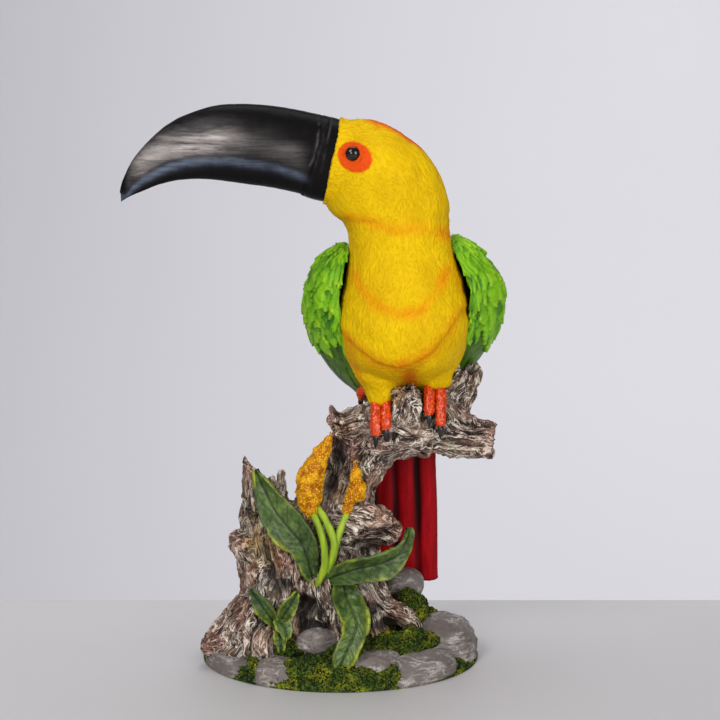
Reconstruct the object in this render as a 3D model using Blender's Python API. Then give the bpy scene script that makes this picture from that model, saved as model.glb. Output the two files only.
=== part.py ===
# Painted resin toucan on a broken stump, cast in one piece.
# Metres, +Z up. The origin is the middle of the flat underside, and the chest faces -Y.

import math

import bmesh
import bpy
from mathutils import Vector, noise

# Driving sizes
BASE_WIDTH = 0.186  # mossy ground, left to right
BASE_DEPTH = 0.148  # mossy ground, front to back
GROUND_RIM = 0.006  # ground's height at its edge
GROUND_CROWN = 0.015  # ground's height under the stump
PERCH_HEIGHT = 0.160  # underside to the branch's middle, where the bird sits
BIRD_HEIGHT = 0.200  # perch to crown
BEAK_LENGTH = 0.146  # face to tip, along the beak
BEAK_THICKNESS = 0.036  # across the beak at the face
EYE_RADIUS = 0.0032
TOE_RADIUS = 0.0041
CLAW_RADIUS = 0.0026
TAIL_LENGTH = 0.153  # rump to tip
TAIL_WIDTH = 0.045
TAIL_THICKNESS = 0.011
FEATHER_STEP = 0.0016  # how far one row of wing feathers stands over the next
TRUNK_RADIUS = 0.0135  # waist of the limb that climbs to the perch
BRANCH_RADIUS = 0.0215  # limb under the feet
STUMP_RADIUS = 0.034  # broken shell, at mid height
SHELL_WALL = 0.006  # broken shell's wall at the rim
LEAF_THICKNESS = 0.0026
STEM_RADIUS = 0.0027
CUT_DEPTH = 0.020  # how far the cutter reaches below the underside

# Each free form is drawn in units of its own sizes: these are the counts of units in them.
BASE_WIDTH_UNITS = 186
BASE_DEPTH_UNITS = 148
PERCH_UNITS = 160
BIRD_UNITS = 200
BEAK_UNITS = 146
TAIL_UNITS = 153
PERCH_PLACE = 45  # where the bird sits, in units of the base's width from its middle
SPINE = -3  # the bird's middle plane, in bird units from where it sits
TAIL_ROOT = 34  # top of the tail, in bird units above the perch

COLOURS = {"resin": (0.83, 0.62, 0.04, 1.0)}
RESIN_ROUGHNESS = 0.5


def on_base(x, y, z):
    """A point of the ground, stump and plants."""
    return Vector(
        (
            x * BASE_WIDTH / BASE_WIDTH_UNITS,
            y * BASE_DEPTH / BASE_DEPTH_UNITS,
            z * PERCH_HEIGHT / PERCH_UNITS,
        )
    )


def on_bird(x, y, z):
    """A point of the bird, from its perch."""
    return on_base(PERCH_PLACE, 0, PERCH_UNITS) + Vector((x, y, z)) * BIRD_HEIGHT / BIRD_UNITS


def base_size(size):
    """A thickness drawn in the stump's units."""
    return size * PERCH_HEIGHT / PERCH_UNITS


def bird_size(size):
    """A thickness drawn in the bird's units."""
    return size * BIRD_HEIGHT / BIRD_UNITS


def rows_on(place, size, table):
    """Table rows (x, y, z, wide, thin, bulge) as rows of a swept form, in metres."""
    rows = []
    for x, y, z, *sizes in table:
        wide = sizes[0]
        thin = sizes[1] if len(sizes) > 1 else wide
        bulge = sizes[2] if len(sizes) > 2 else 0.0
        rows.append((place(x, y, z), size(wide), size(thin), size(bulge)))
    return rows


def smooth_between(rows, place):
    """Catmull-Rom through the rows, at a place counted in rows from the first."""
    last = len(rows) - 1
    i = min(int(place), last - 1)
    t = place - i
    four = [rows[max(0, min(last, k))] for k in (i - 1, i, i + 1, i + 2)]

    def blend(values):
        a, b, c, d = values
        return b + 0.5 * t * (c - a + t * (2 * a - 5 * b + 4 * c - d + t * (3 * (b - c) + d - a)))

    mixed = [blend([row[k] for row in four]) for k in range(len(rows[0]))]
    return [mixed[0]] + [max(0.0, value) for value in mixed[1:3]] + mixed[3:]


def new_solid(name, mesh_data):
    """A hidden solid, which the casting joins in."""
    mesh = bpy.data.meshes.new(name)
    if mesh_data.calc_volume(signed=True) < 0:
        bmesh.ops.reverse_faces(mesh_data, faces=mesh_data.faces)
    mesh_data.to_mesh(mesh)
    mesh_data.free()
    form = bpy.data.objects.new(name, mesh)
    form.hide_render = True
    form.display_type = "WIRE"
    return form


def swept(name, rows, sides=10, steps=2, across=(0, 1, 0), level=None, power=2.0, relief=None):
    """A closed form swept through rows of (centre, half width, half thickness, bulge).

    A row of no width ends the form in a point, and any other end is flat. across is the
    direction of the width, level the fixed normal of sections that don't turn with the path,
    power the squareness of the section, and relief(along, angle) swells it.
    """
    last = len(rows) - 1
    places = [k / steps for k in range(last * steps + 1)]
    if rows[0][1] > 0:
        places.insert(0, 0.0)
    if rows[-1][1] > 0:
        places.append(float(last))
    solid = bmesh.new()
    bmesh.ops.create_uvsphere(solid, u_segments=sides, v_segments=len(places) - 1, radius=1)
    sections = []
    for place in places:
        centre, wide, thin, bulge = smooth_between(rows, place)
        ahead = smooth_between(rows, min(last, place + 0.05))[0]
        behind = smooth_between(rows, max(0.0, place - 0.05))[0]
        along = Vector(level) if level else (ahead - behind).normalized()
        width_axis = Vector(across)
        width_axis = (width_axis - width_axis.dot(along) * along).normalized()
        sections.append((place, centre, width_axis, along.cross(width_axis), wide, thin, bulge))
    for vertex in solid.verts:
        ring = round(math.acos(max(-1, min(1, vertex.co.z))) / math.pi * (len(places) - 1))
        place, centre, width_axis, thin_axis, wide, thin, bulge = sections[ring]
        if ring in (0, len(places) - 1):
            vertex.co = centre
            continue
        angle = math.atan2(vertex.co.y, vertex.co.x)
        swell = 1 + relief(place / last, angle) if relief else 1
        c, s = math.cos(angle), math.sin(angle)
        c_shaped = math.copysign(abs(c) ** (2 / power), c)
        s_shaped = math.copysign(abs(s) ** (2 / power), s)
        vertex.co = (
            centre
            + width_axis * wide * swell * c_shaped
            + thin_axis * (thin * swell * s_shaped + bulge * (1 - c_shaped**2))
        )
    return new_solid(name, solid)


def bark(ridges, depth, seed):
    """Relief of long bark ridges that wander along a limb."""

    def relief(along, angle):
        wander = noise.noise(Vector((along * 3, math.cos(angle), seed)))
        lump = noise.noise(Vector((along * 5, math.sin(angle) * 1.5, seed + 7)))
        return depth * math.cos(ridges * angle + 3 * wander) + 1.6 * depth * lump

    return relief


def limb(name, table, sides=12, steps=2, ridges=4, depth=0.06, seed=0.0, across=(0, 1, 0)):
    """A limb, root or stub of the dead tree."""
    rows = rows_on(on_base, base_size, table)
    return swept(name, rows, sides, steps, across, relief=bark(ridges, depth, seed))


# The bird


def body():
    """Head, neck, chest and belly: rows of height, then left, right, front and back."""
    outline = [
        (200, -31, -31, 0, 0),
        (197.5, -42, -18, -10, 10),
        (190, -46, -4, -18, 18),
        (181, -48, 8, -23, 22),
        (170, -50, 16, -26, 25),
        (158, -53, 22, -27, 27),
        (147, -54, 25, -27, 28),
        (139, -50, 26, -27, 29),
        (130, -41, 26, -27, 31),
        (116, -39, 29, -30, 33),
        (100, -41, 34, -36, 36),
        (86, -44, 37, -42, 38),
        (70, -46, 40, -46, 40),
        (56, -45, 38, -45, 41),
        (44, -41, 34, -40, 41),
        (34, -36, 29, -31, 41),
        (24, -28, 23, -18, 40),
        (12, -18, 16, 0, 37),
        (2, -2, -2, 22, 22),
    ]
    rows = [
        (
            on_bird((left + right) / 2, (front + back) / 2, height),
            bird_size((right - left) / 2),
            bird_size((back - front) / 2),
            0.0,
        )
        for height, left, right, front, back in outline
    ]
    return swept("body", rows, 18, 1, across=(1, 0, 0), level=(0, 0, -1), power=2.25)


def thighs():
    """Feathered thighs: rows of centre, half width and half depth, down to the toes."""
    left = [
        (-20, -2, 50, 19, 22),
        (-21, -10, 34, 16, 16),
        (-19, -12, 25, 11, 11),
        (-18, -12, 19, 8, 8),
    ]
    right = [
        (17, -2, 58, 19, 22),
        (18, -9, 43, 16, 16),
        (18.5, -11, 34, 11, 11),
        (18.5, -11, 28, 8, 8),
    ]
    return [
        swept(name, rows_on(on_bird, bird_size, table), 12, 1, (1, 0, 0), level=(0, 0, -1))
        for name, table in (("left_thigh", left), ("right_thigh", right))
    ]


def beak():
    """Curved upper and lower bill, the lower one inset below the line of the mouth.

    Rows of centre, half depth and half thickness.
    """
    centre_line = [
        (-31, 0, 172, 28, 18),
        (-46, 0, 173, 28, 18),
        (-58, 0, 176, 27.5, 17.5),
        (-62, 0, 177, 26, 16.5),
        (-84, -0.5, 181.5, 26.5, 15.5),
        (-104, -1, 184, 26, 14),
        (-122, -1.5, 184.5, 24.5, 12.5),
        (-139, -2, 182, 21.5, 10.5),
        (-154, -3, 176.5, 17.5, 8.5),
        (-167, -4, 168.5, 12.8, 6.5),
        (-176, -4.5, 160.5, 8.8, 4.6),
        (-182, -5, 154, 5, 2.8),
        (-186.5, -5.5, 146.5, 0, 0),
    ]
    face = centre_line[1]
    stretch = (BEAK_LENGTH / BEAK_UNITS) / (BIRD_HEIGHT / BIRD_UNITS)
    thicken = BEAK_THICKNESS / bird_size(2 * face[4])
    table = [
        (face[0] + (x - face[0]) * stretch, y, z, deep, thin * thicken)
        for x, y, z, deep, thin in centre_line
    ]
    mouth_inset = 0.10

    def mouth(along, angle):
        line = -0.28 + 1.1 * max(0.0, along - 0.72) / 0.28
        is_lower = math.cos(angle) > -line and 0.22 < along
        return -mouth_inset if is_lower else 0.0

    rows = rows_on(on_bird, bird_size, table)
    return swept("beak", rows, 16, 1, across=(0, 0, -1), relief=mouth)


def eyes():
    found = []
    for name, side in (("right_eye", -1), ("left_eye", 1)):
        solid = bmesh.new()
        bmesh.ops.create_uvsphere(solid, u_segments=7, v_segments=5, radius=EYE_RADIUS)
        bmesh.ops.translate(solid, verts=solid.verts, vec=on_bird(-36, side * 20.5, 179))
        found.append(new_solid(name, solid))
    return found


def mantle():
    """The back, which carries both folded wings: rows of y, z, half width and half depth."""
    outline = [
        (16, 124, 0, 0),
        (18, 117, 26, 13),
        (20, 103, 42, 19),
        (22, 86, 48, 21),
        (23, 67, 47.5, 21),
        (26, 49, 43, 20),
        (29, 33, 36, 17),
        (32, 17, 27, 13),
        (34, 2, 17, 9),
        (36, -10, 0, 0),
    ]
    rows = rows_on(on_bird, bird_size, [(SPINE, *row) for row in outline])
    return swept("mantle", rows, 14, 1, across=(1, 0, 0), level=(0, 0, -1), power=2.6)


def wing(name, side, lift):
    """A folded wing, from the shoulder to its tip behind the tail's root.

    Rows of distance from the spine, y, z, half width, half thickness and outward bulge.
    """
    table = [
        (38, 8, 119, 0, 0, 0),
        (38, 8, 115, 13, 6, 5),
        (40, 8, 106, 22, 7, 11),
        (42, 9, 92, 29, 7, 15),
        (42, 10, 79, 31, 7, 17),
        (41, 12, 65, 30, 7, 17),
        (38, 15, 52, 28, 6, 16),
        (34, 20, 40, 25, 5, 15),
        (29, 25, 28, 21, 4.5, 12),
        (21, 30, 16, 15, 4, 8),
        (14, 34, 4, 10, 3.5, 5),
        (9, 37, -8, 0, 0, 0),
    ]
    placed = [(SPINE + side * out, y, z + lift, w, t, b) for out, y, z, w, t, b in table]
    rows = rows_on(on_bird, bird_size, placed)
    covert_rows = 5
    covert_share = 0.62  # down to here the wing carries short feathers
    scallops = 3.5

    def feathers(along, angle):
        outward = math.sin(angle) * side
        if outward <= 0.1 or along > covert_share:
            return 0.0
        scallop = 0.35 * math.cos(scallops * math.pi * math.cos(angle))
        row = along / covert_share * covert_rows + scallop
        return FEATHER_STEP / bird_size(7) * (row % 1.0) * outward

    wide_axis = Vector((-side * 0.29, 0.96, 0))
    turned = [(centre, wide, thin, side * bulge) for centre, wide, thin, bulge in rows]
    return swept(name, turned, 11, 2, across=wide_axis, level=(0, 0, -1), relief=feathers)


def tail():
    """Long square tail of ribbed feathers that hangs behind the perch."""
    stretch = (TAIL_LENGTH / TAIL_UNITS) / (BIRD_HEIGHT / BIRD_UNITS)
    outline = [  # x, y, distance down the tail, share of its width, share of its thickness
        (-2, 24, 0, 0.80, 1.5),
        (-1, 29, 20, 0.90, 1.4),
        (-1.5, 33, 44, 0.97, 1.15),
        (-1.5, 36, 76, 1.0, 1.05),
        (0, 39.5, 114, 1.0, 1.0),
        (1, 42, 153, 0.98, 0.9),
    ]
    rows = []
    for x, y, down, wide, thick in outline:
        centre = on_bird(x, y, TAIL_ROOT - down * stretch)
        rows.append((centre, TAIL_WIDTH / 2 * wide, TAIL_THICKNESS / 2 * thick, 0.0))
    ribs = 6

    def ribbed(along, angle):
        return 0.13 * math.cos(ribs * angle)

    return swept("tail", rows, 24, 1, across=(1, 0, 0), power=3.2, relief=ribbed)


def feet():
    """Toes that grip the branch, each ending in a claw."""
    toes = {
        "left_outer": [(-21, -9, 24), (-22, -17, 12), (-21, -23, -4)],
        "left_inner": [(-14, -9, 24), (-13.5, -18, 14), (-13, -21.5, 4)],
        "right_inner": [(14.5, -9, 34), (14, -18, 23), (13.5, -22, 14)],
        "right_outer": [(21.5, -9, 34), (22, -18, 20), (22.5, -22.5, 6)],
        "left_rear": [(-24, -4, 22), (-31, 3, 20), (-36, 12, 10)],
        "right_rear": [(18, -2, 32), (24, 12, 24), (27, 24, 10)],
    }
    found = []
    for name, path in toes.items():
        knuckles = [0.85, 1.0, 1.0]
        rows = [(on_bird(*p), TOE_RADIUS * k, TOE_RADIUS * k, 0.0) for p, k in zip(path, knuckles)]
        tip, before = rows[-1][0], rows[-2][0]
        heading = (tip - before).normalized()
        rows.append((tip + heading * TOE_RADIUS * 0.8, TOE_RADIUS * 0.55, TOE_RADIUS * 0.55, 0.0))
        found.append(swept(name + "_toe", rows, 7, 1, across=(1, 0, 0)))
        inward = Vector((0, -0.5 * math.copysign(1, heading.y), -1)).normalized()
        claw = [
            (tip + heading * TOE_RADIUS * 0.3, CLAW_RADIUS, CLAW_RADIUS, 0.0),
            (tip + heading * TOE_RADIUS * 1.6, CLAW_RADIUS * 0.85, CLAW_RADIUS * 0.85, 0.0),
            (tip + heading * TOE_RADIUS * 1.6 + inward * TOE_RADIUS * 1.5, 0.0, 0.0, 0.0),
        ]
        found.append(swept(name + "_claw", claw, 6, 1, across=(1, 0, 0)))
    return found


# The tree


def stump():
    """Broken, hollow shell: rings climb the outside, cross the jagged rim and go down inside."""
    outer = [(0, 1.40), (8, 1.34), (18, 1.22), (32, 1.10), (50, 1.02), (68, 1.0), (84, 0.98)]
    rim_rings = 3
    inside_drops = (0.0, 16.0, 26.0)  # below the rim
    sides = 24
    rings = len(outer) + rim_rings + len(inside_drops) + 1
    centre = on_base(-30, 1, 0)
    depth_share = 0.92
    solid = bmesh.new()
    bmesh.ops.create_uvsphere(solid, u_segments=sides, v_segments=rings, radius=1)

    def bump(angle, at, width):
        apart = (math.degrees(angle) - at + 180) % 360 - 180
        return math.exp(-((apart / width) ** 2))

    def rim(angle):
        """Height of the broken edge: tall shards at the left and back, low at the front."""
        height = 103 + 40 * bump(angle, 180, 15) + 25 * bump(angle, 112, 12)
        height += 6 * bump(angle, 150, 12) - 12 * bump(angle, 285, 40)
        return height + 3 * math.cos(8 * angle)

    for vertex in solid.verts:
        ring = round(math.acos(max(-1, min(1, vertex.co.z))) / math.pi * rings)
        angle = math.atan2(vertex.co.y, vertex.co.x)
        ridge = 0.035 * math.cos(7 * angle + 1) + 0.05 * noise.noise(
            Vector((math.cos(angle) * 2, math.sin(angle) * 2, ring * 0.5))
        )
        edge = rim(angle)
        top_outer = outer[-1][0]
        if ring == 0:
            height, radius = 0.0, 0.0
        elif ring <= len(outer):
            height, share = outer[ring - 1]
            radius = STUMP_RADIUS * (share + ridge)
        elif ring <= len(outer) + rim_rings:
            climb = (ring - len(outer)) / rim_rings
            height = top_outer + (edge - top_outer) * climb
            radius = STUMP_RADIUS * (outer[-1][1] + ridge + 0.04 * climb)
        elif ring < rings:
            drop = inside_drops[ring - len(outer) - rim_rings - 1]
            height = max(edge - drop, 60.0) if drop else edge
            radius = STUMP_RADIUS * (1 + ridge) - SHELL_WALL * (1 + drop / 20)
            if drop == inside_drops[-1]:
                height = 72.0
        else:
            height, radius = 70.0, 0.0
        vertex.co = centre + Vector(
            (
                radius * math.cos(angle),
                radius * depth_share * math.sin(angle),
                base_size(height),
            )
        )
    return new_solid("stump", solid)


def trunk_and_branches():
    """Limbs, stubs and roots: rows of centre and radius."""
    slim = TRUNK_RADIUS * PERCH_UNITS / PERCH_HEIGHT
    thick = BRANCH_RADIUS * PERCH_UNITS / PERCH_HEIGHT
    tables = {
        "trunk": [
            (-14, 4, 0, 34),
            (-12, 3, 30, 29),
            (-8, 1, 60, 24),
            (-4, 0, 86, slim * 1.4),
            (4, 0, 108, slim * 1.05),
            (12, 0, 128, slim),
            (22, 0, 147, slim * 1.35),
            (31, 0, 157, slim),
        ],
        "perch": [
            (12, 0, 152, thick * 0.6),
            (24, 0, 154, thick * 0.95),
            (PERCH_PLACE, 0, 159, thick),
            (62, 0, 160, thick * 1.02),
            (74, -2, 155, thick * 0.78),
            (86, -4, 151, thick * 0.60),
            (101, -5, 150, thick * 0.54),
        ],
        "hollow_back": [
            (-14, 5, 84, 16),
            (-6, 5, 108, 14),
            (-1, 4, 130, 13),
            (8, 2, 150, 13),
            (18, 0, 160, 11),
        ],
        "left_lobe": [(26, 0, 158, 14), (10, -4, 162, 13), (0, -6, 163, 11), (-8, -8, 163, 7)],
        "front_knob": [(44, -2, 160, 15), (44, -12, 171, 13), (43, -19, 180, 11.5), (43, -22, 185, 6)],
        "upright_stub": [(66, 4, 160, 15), (75, 5, 176, 12), (82, 6, 187, 10.5), (86, 6, 193, 9.5)],
        "side_knot": [
            (-4, 0, 94, 18),
            (8, -10, 95, 18),
            (22, -15, 95, 15),
            (33, -17, 93, 10),
            (40, -18, 93, 3),
        ],
        "left_ledge": [(-48, -4, 72, 15), (-60, -9, 77, 11), (-68, -12, 81, 7), (-74, -14, 82, 2.5)],
        "left_root": [(-50, -8, 40, 18), (-66, -15, 24, 15), (-80, -20, 13, 12), (-90, -22, 8, 7)],
        "front_root": [(-48, -20, 44, 14), (-52, -31, 26, 12), (-53, -40, 12, 10), (-53, -46, 5, 6)],
        "middle_root": [
            (-13, -12, 70, 13),
            (-12, -24, 54, 11),
            (-9, -31, 36, 9),
            (-6, -37, 20, 6),
            (-4, -40, 8, 3),
        ],
        "right_root": [
            (4, -4, 88, 13),
            (16, -14, 60, 14),
            (30, -22, 36, 10),
            (46, -25, 22, 7),
            (58, -27, 12, 3),
        ],
        "back_root": [(-34, 18, 40, 17), (-42, 36, 20, 13), (-48, 52, 9, 9), (-50, 60, 4, 5)],
        "back_right_root": [(0, 14, 44, 17), (6, 30, 22, 12), (12, 46, 10, 9), (16, 56, 4, 5)],
    }
    sides = {"trunk": 13, "perch": 12}
    smooth = ("trunk", "perch", "side_knot", "right_root")
    return [
        limb(name, table, sides.get(name, 9), 2 if name in smooth else 1, seed=3.7 * i)
        for i, (name, table) in enumerate(tables.items())
    ]


# The ground


def ground():
    """Low mound, open-edged below the underside, where the cutter trims it flat."""
    table = [
        (0, 0, -1, 0.99, 0.99),
        (0, 0, 0.5, 1.0, 1.0),
        (0, 0, 1.0, 0.955, 0.95),
        (0, 0, 1.7, 0.70, 0.70),
        (0, 0, 2.0, 0.35, 0.35),
        (0, 0, 2.1, 0, 0),
    ]
    rows = []
    for _, _, level, wide, deep in table:
        height = GROUND_RIM * min(level, 1) + (GROUND_CROWN - GROUND_RIM) * max(0, level - 1)
        rows.append((Vector((0, 0, height)), wide * BASE_WIDTH / 2, deep * BASE_DEPTH / 2, 0.0))

    def uneven(along, angle):
        return 0.012 * math.cos(7 * angle) - 0.01

    return swept("ground", rows, 26, 1, across=(1, 0, 0), level=(0, 0, 1), relief=uneven)


def stone(name, x, y, z, half_x, half_y, half_z, turn, seed):
    """A flat-topped stone, bedded in the ground."""
    solid = bmesh.new()
    bmesh.ops.create_icosphere(solid, subdivisions=2, radius=1)
    centre = on_base(x, y, z)
    c, s = math.cos(math.radians(turn)), math.sin(math.radians(turn))
    flat_top = 0.62
    for vertex in solid.verts:
        p = vertex.co * (1 + 0.22 * noise.noise(vertex.co * 1.7 + Vector((seed, 0, 0))))
        p.z = min(p.z, flat_top + 0.15 * p.x)
        p = Vector((base_size(half_x) * p.x, base_size(half_y) * p.y, base_size(half_z) * p.z))
        vertex.co = centre + Vector((c * p.x - s * p.y, s * p.x + c * p.y, p.z))
    return new_solid(name, solid)


def stones():
    table = [
        ("left_stone", -70, -30, 4, 20, 19, 12, 30, 1.0),
        ("front_left_stone", -42, -44, 4, 16, 20, 12, 10, 2.0),
        ("root_stone", -14, -40, 14, 15, 10, 10, 0, 3.0),
        ("middle_stone", 24, -48, 8, 18, 12, 9, 20, 4.0),
        ("front_right_stone", 52, -42, 5, 27, 15, 12, 33, 5.0),
        ("right_stone", 69, -2, 6, 24, 26, 20, 20, 6.0),
        ("back_stone", -8, 56, 4, 24, 14, 12, 0, 7.0),
        ("back_left_stone", -66, 28, 4, 20, 22, 13, 20, 8.0),
    ]
    return [stone(*row) for row in table]


def tail_rock():
    """Mossy rock behind the stump that the tail's tip stands on."""
    tip_height = PERCH_HEIGHT + bird_size(TAIL_ROOT) - TAIL_LENGTH
    top = tip_height + base_size(12)
    outline = [  # share of the height, x, y, half width, half depth
        (0.0, 4, 26, 32, 24),
        (0.16, 4, 27, 26, 20),
        (0.36, 0, 28, 17, 15),
        (0.58, -2, 29, 12, 12),
        (0.78, -2, 30, 14, 12),
        (0.95, -3, 30, 12, 9),
        (1.0, -3, 30, 0, 0),
    ]
    rows = []
    for share, x, y, wide, deep in outline:
        centre = on_base(PERCH_PLACE + x, y, 0) + Vector((0, 0, top * share))
        rows.append((centre, base_size(wide), base_size(deep), 0.0))
    return swept("tail_rock", rows, 14, 1, (1, 0, 0), level=(0, 0, 1), relief=bark(3, 0.06, 5.0))


# The plants


def leaf(name, across, table):
    """A thick pointed leaf whose halves rise from the midrib."""
    rows = []
    for x, y, z, half_width, cup in table:
        rows.append((on_base(x, y, z), base_size(half_width), LEAF_THICKNESS / 2, base_size(cup)))
    rows[0] = rows[0][:2] + (LEAF_THICKNESS, rows[0][3])
    return swept(name, rows, 8, 2, across=across)


def leaves():
    """Leaves, each with its width's direction and rows of centre, half width and cup."""
    left = [
        (-12, -28, 56, 4, 0),
        (-18, -33, 76, 9, 2),
        (-30, -34, 98, 13, 4),
        (-44, -32, 117, 10, 3),
        (-56, -29, 134, 0, 0),
    ]
    right = [
        (-12, -30, 58, 4, 0),
        (4, -39, 69, 9, 2),
        (22, -42, 74, 10.5, 4),
        (38, -40, 82, 9, 3),
        (47, -36, 101, 0, 0),
    ]
    front = [
        (-4, -28, 62, 6, 0),
        (5, -40, 52, 10, 3),
        (10, -49, 37, 11, 4),
        (6, -57, 21, 8, 3),
        (2, -61, 6, 4, 1),
    ]
    sprout_left = [(-44, -38, 30, 3, 0), (-51, -44, 44, 5.5, 1), (-59, -45, 59, 0, 0)]
    sprout_right = [(-42, -38, 32, 3, 0), (-35, -44, 46, 5.5, 1), (-27, -44, 59, 0, 0)]
    sprout_front = [(-40, -34, 36, 5, 0), (-38, -43, 36, 7, 2), (-37, -49, 26, 7, 1), (-37, -51, 15, 4, 0)]
    return [
        leaf("left_leaf", (1, 0, 0.6), left),
        leaf("right_leaf", (-0.3, -0.3, 1), right),
        leaf("front_leaf", (1, 0.1, 0.2), front),
        leaf("sprout_left", (1, 0, 0.5), sprout_left),
        leaf("sprout_right", (1, 0, -0.5), sprout_right),
        leaf("sprout_front", (1, 0, 0), sprout_front),
    ]


def flowers():
    """Two knobbly spikes on round stems."""
    stem_paths = {
        "front_stem": [
            (-14, -32, 56),
            (-13, -36, 68),
            (-11, -36, 86),
            (-14, -33, 98),
            (-19, -30, 110),
        ],
        "second_stem": [(-12, -30, 62), (-7, -33, 78), (-7, -31, 96), (-15, -28, 114)],
        "short_stem": [(-9, -32, 72), (-3, -30, 88), (2, -26, 100), (5, -24, 110)],
    }
    spikes = {
        "tall_spike": [
            (-18, -29, 103, 0),
            (-20, -29, 108, 6.5),
            (-20, -28, 120, 8.2),
            (-19.5, -27, 130, 9.4),
            (-17, -26, 138, 8.2),
            (-11, -24, 145, 4.8),
            (-8, -23, 152, 3.2),
            (-6, -22, 159, 0),
        ],
        "short_spike": [
            (4, -23, 104, 0),
            (4.5, -22, 108, 3.6),
            (7, -20, 114, 5),
            (10, -18, 121, 6.5),
            (10, -17, 129, 4),
            (10, -16, 135, 3),
            (10, -15, 139, 0),
        ],
    }

    def knobbly(along, angle):
        return 0.07 * math.cos(3 * angle + 20 * along) + 0.05 * math.cos(5 * angle - 31 * along)

    found = []
    for name, path in stem_paths.items():
        rows = [(on_base(*p), STEM_RADIUS, STEM_RADIUS, 0.0) for p in path]
        found.append(swept(name, rows, 6, 1))
    for name, table in spikes.items():
        found.append(swept(name, rows_on(on_base, base_size, table), 9, 1, relief=knobbly))
    return found


# The casting


def paint():
    material = bpy.data.materials.new("resin")
    material.use_nodes = True
    shader = material.node_tree.nodes["Principled BSDF"]
    shader.inputs["Base Color"].default_value = COLOURS["resin"]
    shader.inputs["Roughness"].default_value = RESIN_ROUGHNESS
    return material


def table_cutter():
    """Trims everything below the underside."""
    solid = bmesh.new()
    bmesh.ops.create_cube(solid, size=1)
    size = Vector((BASE_WIDTH * 1.5, BASE_DEPTH * 2.0, CUT_DEPTH))
    bmesh.ops.scale(solid, verts=solid.verts, vec=size)
    bmesh.ops.translate(solid, verts=solid.verts, vec=(0, 0, -CUT_DEPTH / 2))
    return new_solid("table_cutter", solid)


def cast():
    """Joins every form in one closed solid with a flat underside."""
    forms = [body(), beak(), mantle(), tail(), stump(), tail_rock()]
    forms += thighs() + eyes() + feet() + trunk_and_branches() + stones() + leaves() + flowers()
    forms += [wing("right_wing", -1, 0), wing("left_wing", 1, 5)]
    joined = bpy.data.collections.new("forms")
    bpy.context.scene.collection.children.link(joined)
    for form in forms:
        joined.objects.link(form)
    casting = ground()
    casting.name = "toucan_sculpture"
    casting.hide_render = False
    casting.display_type = "TEXTURED"
    casting.data.materials.append(paint())
    bpy.context.scene.collection.objects.link(casting)
    union = casting.modifiers.new("join the forms", "BOOLEAN")
    union.operation = "UNION"
    union.solver = "EXACT"
    union.operand_type = "COLLECTION"
    union.collection = joined
    cutter = table_cutter()
    bpy.context.scene.collection.objects.link(cutter)
    trim = casting.modifiers.new("trim the underside", "BOOLEAN")
    trim.operation = "DIFFERENCE"
    trim.solver = "EXACT"
    trim.object = cutter
    return casting


def main():
    for found in list(bpy.data.objects):
        bpy.data.objects.remove(found)
    cast()


main()
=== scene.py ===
import math

import bmesh
import bpy
import numpy as np
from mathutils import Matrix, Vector, noise


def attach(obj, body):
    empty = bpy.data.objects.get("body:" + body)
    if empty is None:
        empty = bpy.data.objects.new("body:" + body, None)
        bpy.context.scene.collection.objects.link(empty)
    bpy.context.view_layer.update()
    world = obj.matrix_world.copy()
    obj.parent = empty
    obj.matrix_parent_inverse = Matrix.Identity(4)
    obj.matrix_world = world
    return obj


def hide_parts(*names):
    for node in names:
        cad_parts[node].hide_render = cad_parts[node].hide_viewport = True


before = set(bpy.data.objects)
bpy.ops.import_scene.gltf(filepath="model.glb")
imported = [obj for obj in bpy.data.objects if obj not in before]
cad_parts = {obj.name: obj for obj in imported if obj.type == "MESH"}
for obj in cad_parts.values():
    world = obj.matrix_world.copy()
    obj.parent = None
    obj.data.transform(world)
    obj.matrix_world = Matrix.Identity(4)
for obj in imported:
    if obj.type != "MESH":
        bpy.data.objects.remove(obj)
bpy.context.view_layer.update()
scene = bpy.context.scene
print("frame loaded")

millimetre = 0.001  # forms are drawn in millimetres and scaled when they are finished
sideways, up, down = (1, 0, 0), (0, 0, 1), (0, 0, -1)  # directions of the sections


# small sums that the sculpting shares


def clip(value):
    return max(0.0, min(1.0, value))


def ease(low, high, value):  # 0 below low, 1 above high
    t = clip((value - low) / (high - low))
    return t * t * (3 - 2 * t)


def hill(away, width):  # 1 in the middle, fading to both sides
    return math.exp(-((away / width) ** 2))


def rough(x, y=None, z=0.0):  # a smooth random value at a place, or at three numbers
    return noise.noise(x if y is None else Vector((x, y, z)))


def crest(sharp, *place):  # 1 along wandering lines, falling away beside them
    return 1 - abs(rough(*place)) * sharp


def lineHeight(line, x):
    return float(np.interp(x, [a for a, b in line], [b for a, b in line]))


def nearLine(points, x, z):  # distance from a drawn line in the front view
    best = 1e9
    for (ax, az), (bx, bz) in zip(points, points[1:]):
        dx, dz = bx - ax, bz - az
        t = max(0.0, min(1.0, ((x - ax) * dx + (z - az) * dz) / (dx * dx + dz * dz)))
        best = min(best, math.hypot(x - ax - t * dx, z - az - t * dz))
    return best


# shared tools for the sculpted forms


def smoothRow(rows, place):  # a smooth curve through the rows, place counted in rows
    last = len(rows) - 1
    i = min(int(place), last - 1)
    t = place - i
    a, b, c, d = (rows[max(0, min(last, k))] for k in (i - 1, i, i + 1, i + 2))
    return b + 0.5 * t * (c - a + t * (2 * a - 5 * b + 4 * c - d + t * (3 * (b - c) + d - a)))


def rowHeading(table, place, step=0.05):
    ahead = smoothRow(table, min(len(table) - 1, place + step))[:3]
    behind = smoothRow(table, max(0.0, place - step))[:3]
    return Vector(ahead - behind).normalized()


def squareTo(heading, side):  # the side direction, turned square to the heading
    side = Vector(side)
    return (side - side.dot(heading) * heading).normalized()


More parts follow.
